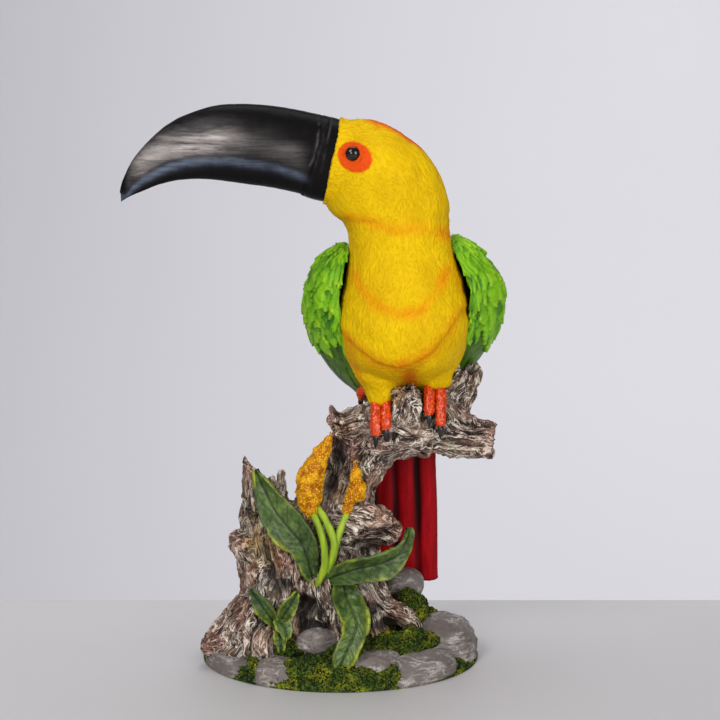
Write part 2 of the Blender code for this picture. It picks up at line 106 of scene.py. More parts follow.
def sphereSpot(vertex, rings):  # ring and angle of a vertex on a plain sphere
    ring = round(math.acos(max(-1, min(1, vertex.co.z))) / math.pi * rings)
    return ring, math.atan2(vertex.co.y, vertex.co.x)


def newLayers(form, *names):  # numbers at every vertex, which the paint reads
    return [form.verts.layers.float.new(name) for name in names]


def mark(vertex, layers, *values):
    for layer, value in zip(layers, values):
        vertex[layer] = value


def turnOutwards(form):
    if form.calc_volume(signed=True) < 0:
        bmesh.ops.reverse_faces(form, faces=form.faces)
    form.normal_update()


def sweepForm(rows, sides, rings, across=(0, 1, 0), level=None, power=2.0):
    # rows of x, y, z, half width, half thickness and bulge; an end with no width is pointed
    table = np.array([list(row) + [0.0] * (6 - len(row)) for row in rows], float)
    last = len(table) - 1
    dense = np.array([smoothRow(table, k * last / 600) for k in range(601)])
    steps = np.linalg.norm(np.diff(dense[:, :4], axis=0), axis=1)
    length = np.concatenate([[0], np.cumsum(steps)])
    bluntStart, bluntEnd = (int(table[k, 3] > 0) for k in (0, -1))
    even = np.linspace(0, length[-1], rings - bluntStart - bluntEnd + 1)
    places = list(np.interp(even, length, np.linspace(0, last, 601)))
    places = [0.0] * bluntStart + places + [float(last)] * bluntEnd
    form = bmesh.new()
    bmesh.ops.create_uvsphere(form, u_segments=sides, v_segments=rings, radius=1)
    layers = newLayers(form, "along", "around")
    sections = []
    for place in places:
        here = smoothRow(table, place)
        heading = Vector(level) if level else rowHeading(table, place)
        wideAxis = squareTo(heading, across)
        sections.append((Vector(here[:3]), wideAxis, heading.cross(wideAxis), *here[3:6]))
    for vertex in form.verts:
        ring, angle = sphereSpot(vertex, rings)
        mark(vertex, layers, ring / rings, angle)
        centre, wideAxis, thinAxis, wide, thin, bulge = sections[ring]
        if ring in (0, rings):
            vertex.co = centre
            continue
        c, s = math.cos(angle), math.sin(angle)
        shapedC = math.copysign(abs(c) ** (2 / power), c) * max(wide, 0)
        shapedS = math.copysign(abs(s) ** (2 / power), s) * max(thin, 0)
        vertex.co = centre + wideAxis * shapedC + thinAxis * (shapedS + bulge * s * s)
    turnOutwards(form)
    return form


def roundForm(rows, sides, rings, flat=1.0):  # rows of x, y, z and radius
    return sweepForm([(x, y, z, r, r * flat) for x, y, z, r in rows], sides, rings)


def joinForms(forms):
    joined = bmesh.new()
    for form in forms:
        part = bpy.data.meshes.new("part")
        form.to_mesh(part)
        form.free()
        joined.from_mesh(part)
        bpy.data.meshes.remove(part)
    return joined


def meltTogether(forms, voxel, smoothings):  # overlapping forms become one skin
    joined = joinForms(forms)
    mesh = bpy.data.meshes.new("melt")
    joined.to_mesh(mesh)
    joined.free()
    melt = bpy.data.objects.new("melt", mesh)
    scene.collection.objects.link(melt)
    remesh = melt.modifiers.new("skin", "REMESH")
    remesh.mode = "VOXEL"
    remesh.voxel_size = voxel
    evaluated = melt.evaluated_get(bpy.context.evaluated_depsgraph_get())
    skin = bmesh.new()
    skin.from_mesh(evaluated.to_mesh())
    evaluated.to_mesh_clear()
    bpy.data.objects.remove(melt)
    bpy.data.meshes.remove(mesh)
    turnOutwards(skin)
    for turn in range(smoothings):
        bmesh.ops.smooth_vert(skin, verts=skin.verts, factor=0.5,
                              use_axis_x=True, use_axis_y=True, use_axis_z=True)
    return skin


def makeObject(name, form, material):
    mesh = bpy.data.meshes.new(name)
    form.to_mesh(mesh)
    form.free()
    mesh.materials.append(material)
    mesh.shade_smooth()
    item = bpy.data.objects.new(name, mesh)
    scene.collection.objects.link(item)
    return item


def finishPiece(name, form, material):
    bmesh.ops.scale(form, vec=(millimetre,) * 3, verts=form.verts)
    piece = makeObject(name, form, material)
    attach(piece, "root")
    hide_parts("toucan_sculpture")
    print(name, len(piece.data.polygons), "faces")


# shared tools for the painted finishes


class Tone:  # what a node gives out, ready for sums
    def __init__(self, paint, socket):
        self.paint = paint
        self.socket = socket

    def math(self, operation, other):
        return self.paint.node("ShaderNodeMath", "Value", {0: self, 1: other}, operation=operation)

    def __add__(self, other):
        return self.math("ADD", other)

    def __sub__(self, other):
        return self.math("SUBTRACT", other)

    def __mul__(self, other):
        return self.math("MULTIPLY", other)

    def spread(self, low, high):  # 0 at low, 1 at high
        values = {"Value": self, "From Min": low, "From Max": high}
        return self.paint.node("ShaderNodeMapRange", "Result", values)

    def lines(self, sharpness):  # thin lines where the noise crosses its middle
        away = (self - 0.5).math("ABSOLUTE", 0.0)
        return (away * -sharpness + 1.0).math("MAXIMUM", 0.0)


class Paint:  # one material, laid coat over coat
    def __init__(self, name, colours, roughness, coat=0.0, coatRoughness=0.1, specular=0.5):
        self.colours = colours  # the piece's dictionary, whose colours go by their names
        self.material = bpy.data.materials.new(name)
        self.material.use_nodes = True
        self.tree = self.material.node_tree
        self.shader = self.tree.nodes["Principled BSDF"].inputs
        self.shader["Roughness"].default_value = roughness
        self.shader["Coat Weight"].default_value = coat
        self.shader["Coat Roughness"].default_value = coatRoughness
        self.shader["Specular IOR Level"].default_value = specular

    def plug(self, socket, value):  # a number, a colour's name or a tone
        if isinstance(value, Tone):
            self.tree.links.new(value.socket, socket)
        elif isinstance(value, str):
            socket.default_value = (*self.colours[value], 1)
        else:
            socket.default_value = value

    def node(self, kind, output, values, **settings):
        node = self.tree.nodes.new(kind)
        for setting, value in settings.items():
            setattr(node, setting, value)
        for socket, value in values.items():
            self.plug(node.inputs[socket], value)
        return Tone(self, node.outputs[output])

    def layer(self, name, output="Fac"):  # what the sculpting stored, a number or a place
        return self.node("ShaderNodeAttribute", output, {}, attribute_name=name)

    def grain(self, scale, detail=4.0, rough=0.6, stretch=(1, 1, 1), distortion=0.0, place=None):
        place = place or self.node("ShaderNodeTexCoord", "Object", {})
        mapped = self.node("ShaderNodeMapping", "Vector", {"Vector": place, "Scale": stretch})
        return self.node("ShaderNodeTexNoise", "Fac", {
            "Vector": mapped, "Scale": scale, "Detail": detail, "Roughness": rough,
            "Distortion": distortion})

    def ramp(self, tone, stops):
        node = self.tree.nodes.new("ShaderNodeValToRGB")
        while len(node.color_ramp.elements) < len(stops):
            node.color_ramp.elements.new(0.5)
        for element, (position, colour) in zip(node.color_ramp.elements, stops):
            element.position = position
            element.color = (*self.colours[colour], 1)
        self.plug(node.inputs["Fac"], tone)
        return Tone(self, node.outputs["Color"])

    def mix(self, factor, under, over, blend="MIX"):
        return self.node("ShaderNodeMix", 2, {0: factor, 6: under, 7: over},
                         data_type="RGBA", blend_type=blend)

    def over(self, factor, colour, blend="MIX"):  # the next coat
        self.base = self.mix(factor, self.base, colour, blend)

    def done(self, height=None, strength=0.0, distance=0.0):
        self.plug(self.shader["Base Color"], self.base)
        if height:
            values = {"Strength": strength, "Distance": distance, "Height": height}
            self.plug(self.shader["Normal"], self.node("ShaderNodeBump", "Normal", values))
        return self.material


# body, head and thighs

bodyValues = {
    "grid": (96, 120),  # sides and rings, here and in the other grids
    "thighGrid": (48, 40),
    "faceGrid": (80, 60),
    "faceSlant": (0.978, 0, -0.208),
    "boxiness": 2.25,  # 2 is an ellipse, more is squarer
    "voxel": 0.88,
    "smoothings": 4,
    "strokeDepth": 0.46,  # incised hair-like strokes
    "strokeAcross": 0.80,  # strokes per millimetre across the flow
    "strokeAlong": 0.20,
    "flowTurn": (0.0, 296.0),  # x and z; above it the strokes run round the head
    "eye": (9.0, 338.5),
    "patchHalf": (11.2, 9.8),  # the bare patch round the eye
    "yellow": (0.665, 0.405, 0.0010),
    "lightYellow": (0.75, 0.495, 0.0015),
    "dashes": (0.62, 0.29, 0.001),
    "orange": (0.74, 0.20, 0.0015),
    "foldShade": (0.38, 0.10, 0.001),
    "crown": (0.76, 0.11, 0.003),
    "patchRed": (0.70, 0.072, 0.004),
    "rim": (0.010, 0.008, 0.006),
}
bodyOutline = [  # height, left, right, front, back
    (360, 14, 14, 0, 0), (357.5, 3, 27, -10, 10), (350, -1, 41, -18, 18), (341, -3, 53, -23, 22),
    (330, -5, 61, -26, 25), (318, -8, 67, -27, 27), (307, -9, 70, -27, 28), (299, -5, 71, -27, 29),
    (290, 4, 71, -27, 31), (276, 6, 74, -30, 33), (260, 4, 79, -36, 36), (246, 1, 82, -42, 38),
    (230, -1, 85, -46, 40), (216, 0, 83, -45, 41), (204, 4, 79, -40, 41), (194, 9, 74, -27, 41),
    (184, 17, 68, -8, 40), (172, 27, 61, 8, 37), (162, 43, 43, 22, 22),
]
thighs = [  # x, y, z, half width, half depth
    [(25, -2, 214, 0, 0), (25, -2, 210, 19, 22), (24, -10, 196, 15.5, 17),
     (26, -12, 186, 10.4, 11.5), (26.5, -12, 177, 7.6, 8), (26.5, -12, 174, 0, 0)],
    [(62, -2, 222, 0, 0), (62, -2, 218, 19, 22), (62.5, -9, 205, 15, 17),
     (62.5, -11, 195, 10.5, 12), (62.5, -11, 188, 9, 9), (62.5, -11, 185, 0, 0)],
]
faceRows = [  # the face meets the bill on a slant: x, y, z, half depth, half thickness
    (-5.4, 0, 335, 0, 0), (-5.2, 0, 333.6, 27.3, 18.4), (-3.2, 0, 333.2, 27.5, 19.2),
    (6, 0, 331.2, 27.6, 20.9), (15, 0, 329.8, 27.2, 23), (25, 0, 328, 25, 24.5),
    (33, 0, 327, 18, 20), (35, 0, 327, 0, 0),
]
bellyFold = [(-2, 232), (3, 224), (10, 218), (23, 210), (36, 206), (46, 209), (58, 216), (68, 228),
             (78, 241)]
blushLines = [  # soft painted bands: line in the front view, width, strength
    ([(6, 299), (17, 298), (36, 291), (51, 293), (64, 289), (71, 286)], 4.0, 0.55),
    ([(36, 292), (51, 293), (64, 290), (71, 287)], 4.5, 0.45),
    ([(9, 263), (13, 255), (23, 246), (38, 240), (51, 242), (61, 252), (69, 266)], 4.0, 0.6),
    (bellyFold[1:], 4.2, 0.62),
    ([(22, 210), (32, 206), (42, 208)], 5.0, 0.8),
    ([(2, 222), (8, 206), (13, 192)], 3.5, 0.4),
    ([(45, 198), (45, 190)], 6.0, 0.9),
    ([(73, 292), (76, 262), (86, 236)], 4.0, 0.4),
]


def billBorder(z):  # where the black of the bill ends
    return -5.2 + 0.21 * (z - 339)


def flowPlace(point):  # across and along the lie of the feathers
    turnX, turnZ = bodyValues["flowTurn"]
    if point.z < turnZ:
        return point.x - turnX, point.z - turnZ
    away = math.hypot(point.x - turnX, point.z - turnZ)
    return away, 48 * math.atan2(point.z - turnZ, point.x - turnX)


def dressBody(form):
    layers = newLayers(form, "blush", "crown", "patch", "beakRim", "shade")
    lieLayer = form.verts.layers.float_vector.new("lie")
    dense, (eyeX, eyeZ) = bodyValues["strokeAcross"], bodyValues["eye"]
    patchX, patchZ = bodyValues["patchHalf"]
    for vertex in form.verts:
        p = vertex.co.copy()
        across, along = flowPlace(p)
        sway = 4.5 * rough(p * 0.045) + 1.2 * rough(p * 0.14)
        lie = Vector(((across + sway) * dense, along * bodyValues["strokeAlong"],
                      (p.y + sway) * dense))
        vertex[lieLayer] = lie
        stroke = rough(lie) + 0.5 * rough(lie * 2.1)
        rim = 1 - ease(-0.6, 2.4, p.x - billBorder(p.z) + 1.4 * rough(p * 0.3))
        reach = math.hypot((p.x - eyeX - 0.8) / patchX,
                           (p.z - eyeZ + 0.8 + 0.12 * (p.x - eyeX)) / patchZ)
        patch = ease(8, 16, abs(p.y)) * (1 - ease(0.93, 1.03, reach + 0.03 * rough(p * 0.6)))
        wrinkle = math.sin(30 * reach + 3 * rough(p * 0.5)) * 0.2
        blush = 0.0
        for line, width, strength in blushLines:
            away = nearLine(line, p.x, p.z)
            if away < 3 * width:
                blush = max(blush, strength * hill(away, width))
        blush *= ease(-6, 12, -p.y) if p.x < 66 else 1.0
        blush *= 0.8 + 0.7 * rough(across * 0.12, along * 0.05, p.y * 0.12)
        crown = hill(p.y, 9.5) * ease(334, 346, p.z) * ease(12, 24, p.x)
        front = ease(4, 16, -p.y)
        below = lineHeight(bellyFold, p.x) - p.z
        fold = ease(-0.5, 2.0, below) * math.exp(-max(below, 0) / 11.0) * front
        overhang = hill(below + 4.5, 4.5) * front
        crotch = hill(p.x - 44.5, 6.5) * ease(0, 8, below) * front
        neckFold = hill(p.z - 296.5 - 0.05 * (p.x - 35), 2.6) * ease(-22, 6, -p.y)
        shade = 0.5 * fold * math.exp(-max(below, 0) / 5.0) + 0.9 * crotch
        lump = 0.9 * rough(p * 0.035) + 0.45 * rough(p * 0.11)
        lift = lump + bodyValues["strokeDepth"] * stroke * (1 - patch) * (1 - 0.7 * rim)
        lift += patch * (0.6 + wrinkle) - 0.6 * patch * (1 - ease(0.30, 0.46, reach))
        lift += 0.6 * overhang - 1.0 * fold - 1.6 * crotch - 0.8 * neckFold
        vertex.co = p + vertex.normal * lift
        mark(vertex, layers, max(0.0, blush), crown * (0.9 + 0.4 * rough(p * 0.12)), patch,
             rim * ease(300, 304, p.z), min(1.0, shade))


def paintBody():
    paint = Paint("yellow plumage paint", bodyValues, 0.6, specular=0.08)
    lie = paint.layer("lie", "Vector")
    dashes = paint.grain(1.1, 2, 0.5, place=lie).spread(0.50, 0.36)
    paint.base = "yellow"
    tone = paint.grain(60, 5, 0.6, (1, 1, 0.5))
    paint.over(tone.spread(0.35, 0.65), "lightYellow")
    paint.over(dashes * 0.26, "dashes")
    paint.over(paint.layer("blush"), "orange")
    paint.over(paint.layer("shade") * 0.6, "foldShade")
    paint.over(paint.layer("crown").spread(0.12, 0.75), "crown")
    paint.over(paint.layer("patch"), "patchRed")
    paint.over(paint.layer("beakRim").spread(0.15, 0.95), "rim")
    height = dashes * -0.6 + paint.grain(2.3, 2, 0.5, place=lie) * 0.8
    return paint.done(height, 0.7, 0.0009)


bodyRows = []
for z, left, right, front, rear in bodyOutline:
    half = ((right - left) / 2, (rear - front) / 2)
    bodyRows.append(((left + right) / 2, (front + rear) / 2, z, *half))
bodyForms = [sweepForm(bodyRows, *bodyValues["grid"], sideways, down, bodyValues["boxiness"])]
bodyForms += [sweepForm(rows, *bodyValues["thighGrid"], sideways, down) for rows in thighs]
bodyForms += [sweepForm(faceRows, *bodyValues["faceGrid"], down, bodyValues["faceSlant"])]
bodyForm = meltTogether(bodyForms, bodyValues["voxel"], bodyValues["smoothings"])
bodyForm.normal_update()
dressBody(bodyForm)
finishPiece("body", bodyForm, paintBody())


# bill

billValues = {
    "grid": (108, 240),
    "collar": [(327, -20), (336, -15.2), (346, -12.6), (359, -11.3)],  # height and x
    "black": (0.005, 0.0045, 0.005),
    # pale streaky painted sheen on the upper bill, standing in for a reflected light
    "brushedAndSheen": (0.64, 0.575, 0.545),
    "mouthReflection": (0.15, 0.19, 0.27),  # painted reflection, blue-grey, just below the mouth
    "scored": (0.26, 0.24, 0.22),
}
billRows = [  # x, y, z, half height, half thickness
    (10, 0, 332, 0, 0), (9, 0, 332, 17, 10), (0, 0, 332.7, 26.1, 16.8), (-6, 0, 333.8, 26.9, 17.3),
    (-13, 0, 335.4, 27.0, 17.2), (-18, 0, 337.0, 26.5, 17), (-39, -0.5, 341.5, 26.5, 15.5),
    (-59, -1, 344, 26, 14), (-77, -1.5, 344.5, 24.5, 12.5), (-94, -2, 342, 21.5, 10.5),
    (-109, -3, 336.5, 17.5, 8.5), (-122, -4, 328.5, 12.8, 6.5), (-131, -4.5, 320.5, 8.8, 4.6),
    (-137, -5, 314, 5, 2.8), (-141.2, -5.5, 307, 0, 0),
]
mouthLine = [  # distance out along the bill, height
    (-8, 323), (15, 324.5), (24, 328), (40, 333), (55, 336), (70, 338), (85, 338), (100, 336),
    (111, 333), (120, 328.5), (127, 324.5), (133, 319.5), (138, 313),
]


def dressBill(form):
    layers = newLayers(form, "mouthReflectionBand", "paintedSheen", "collar")
    for vertex in form.verts:
        p = vertex.co.copy()
        under = lineHeight(mouthLine, -p.x) + 0.4 * rough(p.x * 0.3, 0, 0) - p.z
        flare = ease(-17, -30, p.x)
        below = ease(-0.3, 0.5, under) * flare
        inset = 1.5 * below * math.exp(-max(under, 0) / 10.0) + 0.4 * below
        lip = 0.55 * hill(under + 1.6, 1.5) * flare
        leaning = p.x - lineHeight(billValues["collar"], p.z)
        scored = ease(322, 328, p.z)
        groove = hill(leaning, 0.7) * scored
        ridge = (hill(leaning + 1.6, 0.9) + 0.5 * hill(leaning - 1.6, 0.9)) * scored
        ridge += 0.7 * hill(p.x - billBorder(p.z) + 4.2, 0.8) * scored
        nick = 0.0
        if flare > 0.5 and abs(under + 1.2) < 2.2:
            nick = 0.9 * max(0.0, rough(p.x * 0.22, 7.0, 0) - 0.22) * 2
        scratch = max(0.0, crest(9, p.x * 0.05, p.z * 0.5, p.y * 0.5))
        lump = 0.35 * rough(p * 0.05) + 0.12 * rough(p * 0.2)
        lift = lump - inset + lip - 0.25 * groove + 0.06 * ridge - nick - 0.08 * scratch
        vertex.co = p + vertex.normal * lift * (0.25 + 0.75 * ease(-141, -128, p.x))
        # painted sheen: a pale highlight band on the lower half of the upper bill, strongest out
        # towards the tip
        paintedSheen = hill(under + 9.5, 8.0) * flare * (1 - 0.9 * ease(-92, -54, p.x))
        # the first mark is the band of painted reflection just below the mouth line
        mark(vertex, layers, hill(under - 3.6, 2.8) * flare, paintedSheen * ease(-139, -122, p.x),
             min(1.0, 0.7 * ridge * ridge))


def paintBill():
    paint = Paint("black bill lacquer", billValues, 0.34, 0.02, 0.15, 0.06)
    streak = paint.grain(42, 8, 0.72, (0.35, 1.6, 2.6), 0.6)
    fine = paint.grain(160, 6, 0.7, (0.25, 1.5, 3.5))
    cloud = paint.grain(34, 5, 0.6, (0.6, 1, 1.4)).spread(0.34, 0.64)
    # the painted sheen, broken into streaks
    brushAndSheen = streak.spread(0.28, 0.56) * paint.layer("paintedSheen") * fine.spread(0.20, 0.52)
    # painted reflection: blue-grey along the lower bill just under the mouth
    mouthReflection = paint.layer("mouthReflectionBand") * fine.spread(0.15, 0.6)
    scored = paint.layer("collar") * paint.grain(110, 5, 0.7).spread(0.42, 0.66)
    paint.base = "black"
    paint.over(brushAndSheen * (cloud + 0.5), "brushedAndSheen")
    paint.over(mouthReflection * (paint.grain(26, 3).spread(0.35, 0.6) + 0.3) * 0.6, "mouthReflection")
    paint.over(scored * 0.45, "scored")
    paint.plug(paint.shader["Roughness"], fine.spread(0.2, 0.8) * 0.2 + 0.24)
    return paint.done(fine, 0.15, 0.0004)


billForm = sweepForm(billRows, *billValues["grid"], down)
dressBill(billForm)
finishPiece("bill", billForm, paintBill())


# eyes

eyeValues = {
    "grid": (36, 24),
    "radius": 4.7,
    "flatten": 0.72,
    "place": (8.4, 20.9, 339.8),
    "black": (0.004, 0.003, 0.003),
    "brown": (0.014, 0.009, 0.007),
}


def paintEye():
    paint = Paint("glossy eye", eyeValues, 0.05, 0.25, 0.02, 0.3)
    paint.base = "black"
    paint.over(paint.grain(500, 2).spread(0.3, 0.8), "brown")
    return paint.done()


eyeForms = []
eyeX, eyeY, eyeZ = eyeValues["place"]
sides, rings = eyeValues["grid"]
for side in (-1, 1):
    eye = bmesh.new()
    bmesh.ops.create_uvsphere(eye, u_segments=sides, v_segments=rings, radius=eyeValues["radius"])
    bmesh.ops.scale(eye, vec=(1.0, eyeValues["flatten"], 1.0), verts=eye.verts)
    bmesh.ops.translate(eye, vec=(eyeX, side * eyeY, eyeZ), verts=eye.verts)
    eyeForms.append(eye)
finishPiece("eyes", joinForms(eyeForms), paintEye())


# wings and back

wingValues = {
    "grid": (150, 236),
    "backGrid": (136, 156),
    "backBoxiness": 2.6,
    "spine": 42.0,
    "lift": 1.9,  # how far a feather's tip stands over the next row
    "rowGap": 0.046,  # short feathers, as shares of the wing's length
    "rowLength": 0.105,
    "across": 11,  # short feathers side by side
    "shortUntil": 0.49,
    "bright": (0.20, 0.47, 0.006),
    "mid": (0.046, 0.19, 0.004),
    "dark": (0.006, 0.030, 0.002),
    "longDark": (0.016, 0.055, 0.002),
    "longBright": (0.110, 0.25, 0.005),
    # painted shade on the faces turned to the body, darker high up
    "insideShadeUpper": (0.014, 0.050, 0.003),
    "insideShadeLower": (0.050, 0.130, 0.005),
    "insideShadeStreak": (0.020, 0.060, 0.003),
    "yellow": (0.62, 0.58, 0.02),
}
wingRows = [  # distance from the spine, y, z, half width, half thickness, bulge
    (38, 8, 279, 0, 0, 0), (38, 8, 275, 13, 6, 5), (40, 8, 266, 22, 7, 11), (42, 9, 252, 29, 7, 15),
    (42, 10, 239, 31, 7, 17), (41, 12, 225, 30, 7, 17), (38, 15, 212, 28, 6, 16),
    (34, 20, 200, 25, 5, 15), (29, 25, 188, 21, 4.5, 12), (21, 30, 176, 15, 4, 8),
    (14, 34, 164, 10, 3.5, 5), (9, 37, 152, 0, 0, 0),
]
longFeathers = [  # start down the wing, length, feathers across, shift
    (0.44, 0.34, 8, 0.0), (0.56, 0.50, 6, 0.5), (0.74, 0.60, 5, 0.0),
]
backRows = [  # y, z, half width, half depth
    (16, 284, 0, 0), (18, 277, 26, 13), (20, 263, 42, 19), (22, 246, 48, 21), (23, 227, 47.5, 21),
    (26, 209, 43, 20), (29, 193, 36, 17), (32, 177, 27, 13), (34, 162, 17, 9), (36, 150, 0, 0),
]


def featherRows():
    rows = []
    start = -0.06
    while start < wingValues["shortUntil"]:
        shift = 0.5 * (len(rows) % 2)
        rows.append((start, wingValues["rowLength"], wingValues["across"], shift))
        start += wingValues["rowGap"]
    return rows + longFeathers


allFeathers = featherRows()


def featherAt(u, v, seed):
    # the uppermost feather here: way down it, place across it, its chance, long or not
    for number, (start, length, count, shift) in enumerate(allFeathers):
        if not start <= v <= start + length * 1.2:
            continue
        cell = u * count + shift
        index = math.floor(cell)
        offset = 2 * (cell - index) - 1
        chance = noise.cell(Vector((index + 0.5, number * 3.0 + 0.5, seed)))
        reach = length * (1 + 0.28 * chance)
        bend = offset + 0.25 * chance
        tip = reach - 0.62 * length * min(1.0, abs(bend)) ** 1.4
        if v <= start + tip:
            return (v - start) / reach, offset, chance, length > 0.2
    return 1.0, 0.0, 0.0, True


def dressFeathers(form, places, seed, insideOf):
    # every point takes the lie of the feather that is uppermost there
    layers = newLayers(form, "tone", "chance", "inside", "lower")
    barbLayer = form.verts.layers.float_vector.new("barb")
    for vertex in form.verts:
        p = vertex.co.copy()
        u, v = places(vertex)
        u += 0.055 * rough(p * 0.12)
        v += 0.040 * rough(p * 0.11 + Vector((5, 0, 0)))
        way, offset, chance, long = featherAt(u, v, seed)
        inside = insideOf(vertex, v)
        edge = 1 - ease(0.7, 1.0, abs(offset)) * 0.45
        size = wingValues["lift"] * (0.45 if long else 1.0)
        shaft = hill(offset, 0.13) * (1 - way)
        lift = size * way**1.4 * edge * (1 + 0.35 * chance) + 0.22 * shaft + 0.5 * chance
        lift += 0.16 * rough(p.x * 0.8, p.y * 0.8, p.z * 0.5)
        lift = lift * (1 - inside) + inside * 0.5 * rough(p.x * 0.2, p.y * 0.2, p.z * 0.04)
        fade = ease(0.0, 0.03, v) * (1 - ease(0.985, 1.0, v))
        vertex.co = p + vertex.normal * (lift - 0.6) * fade
        vertex[barbLayer] = abs(offset) * 2.2 - way * (9 if long else 2.4), 4 * chance, v * 3
        mark(vertex, layers, (0.10 + 0.9 * way) * edge + 0.10 * shaft,
             0.0 if long else 0.5 + 0.5 * chance, inside, ease(0.30, 0.62, v))


def paintWing():
    paint = Paint("green plumage paint", wingValues, 0.42, 0.06, 0.3, 0.22)
    barb = paint.grain(1.0, 2, 0.5, (7, 1, 1), place=paint.layer("barb", "Vector"))
    raised, chance = paint.layer("tone"), paint.layer("chance")
    tone = raised + (paint.grain(90, 5) - 0.5) * 1.5 + (barb - 0.5) * 0.7 + chance * 0.25
    paint.base = paint.ramp(tone, [(0.05, "dark"), (0.42, "mid"), (0.88, "bright")])
    longTone = paint.mix(tone.spread(0.1, 0.9), "longDark", "longBright")
    paint.over(chance.spread(0.12, 0.02), longTone)
    fleck = paint.grain(130, 6, 0.7).spread(0.54, 0.66) * raised.spread(0.50, 0.90)
    paint.over(fleck * chance.spread(0.05, 0.5) * 0.8, "yellow")
    # painted shade on the faces turned to the body
    insideShade = paint.mix(paint.layer("lower"), "insideShadeUpper", "insideShadeLower")
    streak = paint.grain(60, 5, 0.6, (1, 1, 0.25)).spread(0.40, 0.66)
    paint.over(paint.layer("inside"), paint.mix(streak, insideShade, "insideShadeStreak"))
    return paint.done(barb + paint.grain(500) * 0.6, 0.5, 0.0007)


wingPaint = paintWing()
spine = wingValues["spine"]
for name, side, drop in (("right_wing", -1, 0.0), ("left_wing", 1, 5.0)):
    tuck = 1.4 * drop  # the higher shoulder lies closer to the body
    placed = []
    for out, y, z, wide, thin, bulge in wingRows:
        x = spine + side * out - tuck * ease(246, 276, z)
        placed.append((x, y, z + drop, wide, thin, side * bulge))
    wingForm = sweepForm(placed, *wingValues["grid"], (-side * 0.04, 1, 0), down)
    around = wingForm.verts.layers.float["around"]
    along = wingForm.verts.layers.float["along"]

    def wingPlace(vertex):
        return math.acos(max(-1, min(1, math.cos(vertex[around])))) / math.pi, vertex[along]

    def wingInside(vertex, v):  # the face turned to the body; lower down it is turned further
        outward = math.sin(vertex[around]) * side
        rear = ease(-0.2, 0.5, math.cos(vertex[around]))
        return 1 - ease(-0.86 + 0.62 * rear, -0.48 + 0.62 * rear, outward)

    dressFeathers(wingForm, wingPlace, 3.0 + side, wingInside)
    finishPiece(name, wingForm, wingPaint)

backForm = sweepForm([(spine, *row) for row in backRows], *wingValues["backGrid"],
                     sideways, down, wingValues["backBoxiness"])
along = backForm.verts.layers.float["along"]
dressFeathers(
    backForm,
    lambda vertex: (0.5 + (vertex.co.x - spine) / 62, vertex[along]),
    9.0,
    lambda vertex, v: 1 - ease(-0.1, 0.3, vertex.normal.y),
)
finishPiece("back", backForm, wingPaint)


# tail

tailValues = {
    "grid": (136, 110),
    "boxiness": 3.2,
    "ribs": 3,
    "width": 45,
    "red": (0.20, 0.002, 0.004),
    "bright": (0.46, 0.005, 0.011),
    # painted shade in the grooves between the ribs
    "grooveShade": (0.012, 0.0015, 0.002),
}
tailRows = [  # x, y, z, half width, half thickness
    (43, 24, 194, 18, 8.2), (44, 29, 174, 20.2, 7.7), (43.5, 33, 150, 21.8, 6.3),
    (43.5, 36, 118, 22.5, 5.8), (45, 39.5, 80, 22.5, 5.5), (46, 42, 41, 22, 5),
]


def dressTail(form):
    layers = newLayers(form, "groove")
    along = form.verts.layers.float["along"]
    for vertex in form.verts:
        p = vertex.co.copy()
        middle = 43.5 + 2.5 * ease(150, 41, p.z)
        drift = 1.3 * rough(p.z * 0.025, 2.0, 0)
        place = (p.x - middle + drift) / tailValues["width"] + 0.5
        cell = place * tailValues["ribs"]
        offset = abs(2 * (cell - math.floor(cell)) - 1)
        groove = ease(0.45, 1.0, offset)
        barb = math.sin((offset * 10 + p.z * 0.55) * 1.7) * (1 - groove)
        fine = rough(p.x * 0.9, p.y * 0.3, p.z * 0.25)
        lift = -1.3 * groove + 0.7 * (1 - offset) + 0.08 * barb + 0.16 * fine
        vertex.co = p + vertex.normal * lift * (0.4 + 0.6 * ease(0, 0.05, vertex[along]))
        # the painted groove shade fades out at the edge towards +x
        mark(vertex, layers, groove * ease(1.0, 0.86, place))


def paintTail():
    paint = Paint("red tail paint", tailValues, 0.45, specular=0.09)
    streak = paint.grain(55, 6, 0.65, (2.6, 1, 0.22), 0.4)
    shadow = paint.grain(20, 4, 0.6, (1.6, 1, 0.25)).spread(0.26, 0.50)
    paint.base = "red"
    paint.over(streak.spread(0.38, 0.66), "bright")
    # painted shade in the grooves, in patches
    paint.over(paint.layer("groove").spread(0.0, 0.75) * shadow, "grooveShade")
    return paint.done(paint.grain(600, 4, 0.65, (1.3, 1, 0.4)), 0.4, 0.0005)


tailForm = sweepForm(tailRows, *tailValues["grid"], sideways, None, tailValues["boxiness"])
dressTail(tailForm)
finishPiece("tail", tailForm, paintTail())


# feet

footValues = {
    "toeGrid": (34, 46),
    "clawGrid": (18, 20),
    "radius": 3.5,
    "clawRadius": 1.75,
    "crease": (0.20, 0.010, 0.001),
    "orange": (0.66, 0.052, 0.003),
    "light": (0.86, 0.13, 0.010),
    "claw": (0.006, 0.006, 0.007),
    "clawLight": (0.03, 0.028, 0.028),
}
toePaths = [  # x, y, z down each toe
    [(24.5, -8, 189), (23.5, -17.5, 177), (23.2, -24.5, 166), (23.2, -26, 160)],
    [(30.5, -8, 189), (30, -18, 177), (29.8, -24.5, 168), (29.8, -26, 164)],
    [(58.4, -8, 198), (58, -18, 186), (57.8, -23.5, 177), (57.8, -25, 173.5)],
    [(65.5, -8, 198), (65.5, -18, 183), (65.2, -24, 170), (65.2, -26, 166)],
    [(23, -4, 184), (18, 2, 183.5), (14.5, 7, 180), (14, 9.5, 176.5)],
    [(64, 0, 194), (69, 12, 186), (71, 22, 174), (71, 24, 170)],
]


def pebbles(place, sharpness):  # rounded grains with creases between them
    distances = noise.voronoi(place)[0]
    return min(1.0, sharpness * (distances[1] - distances[0]))


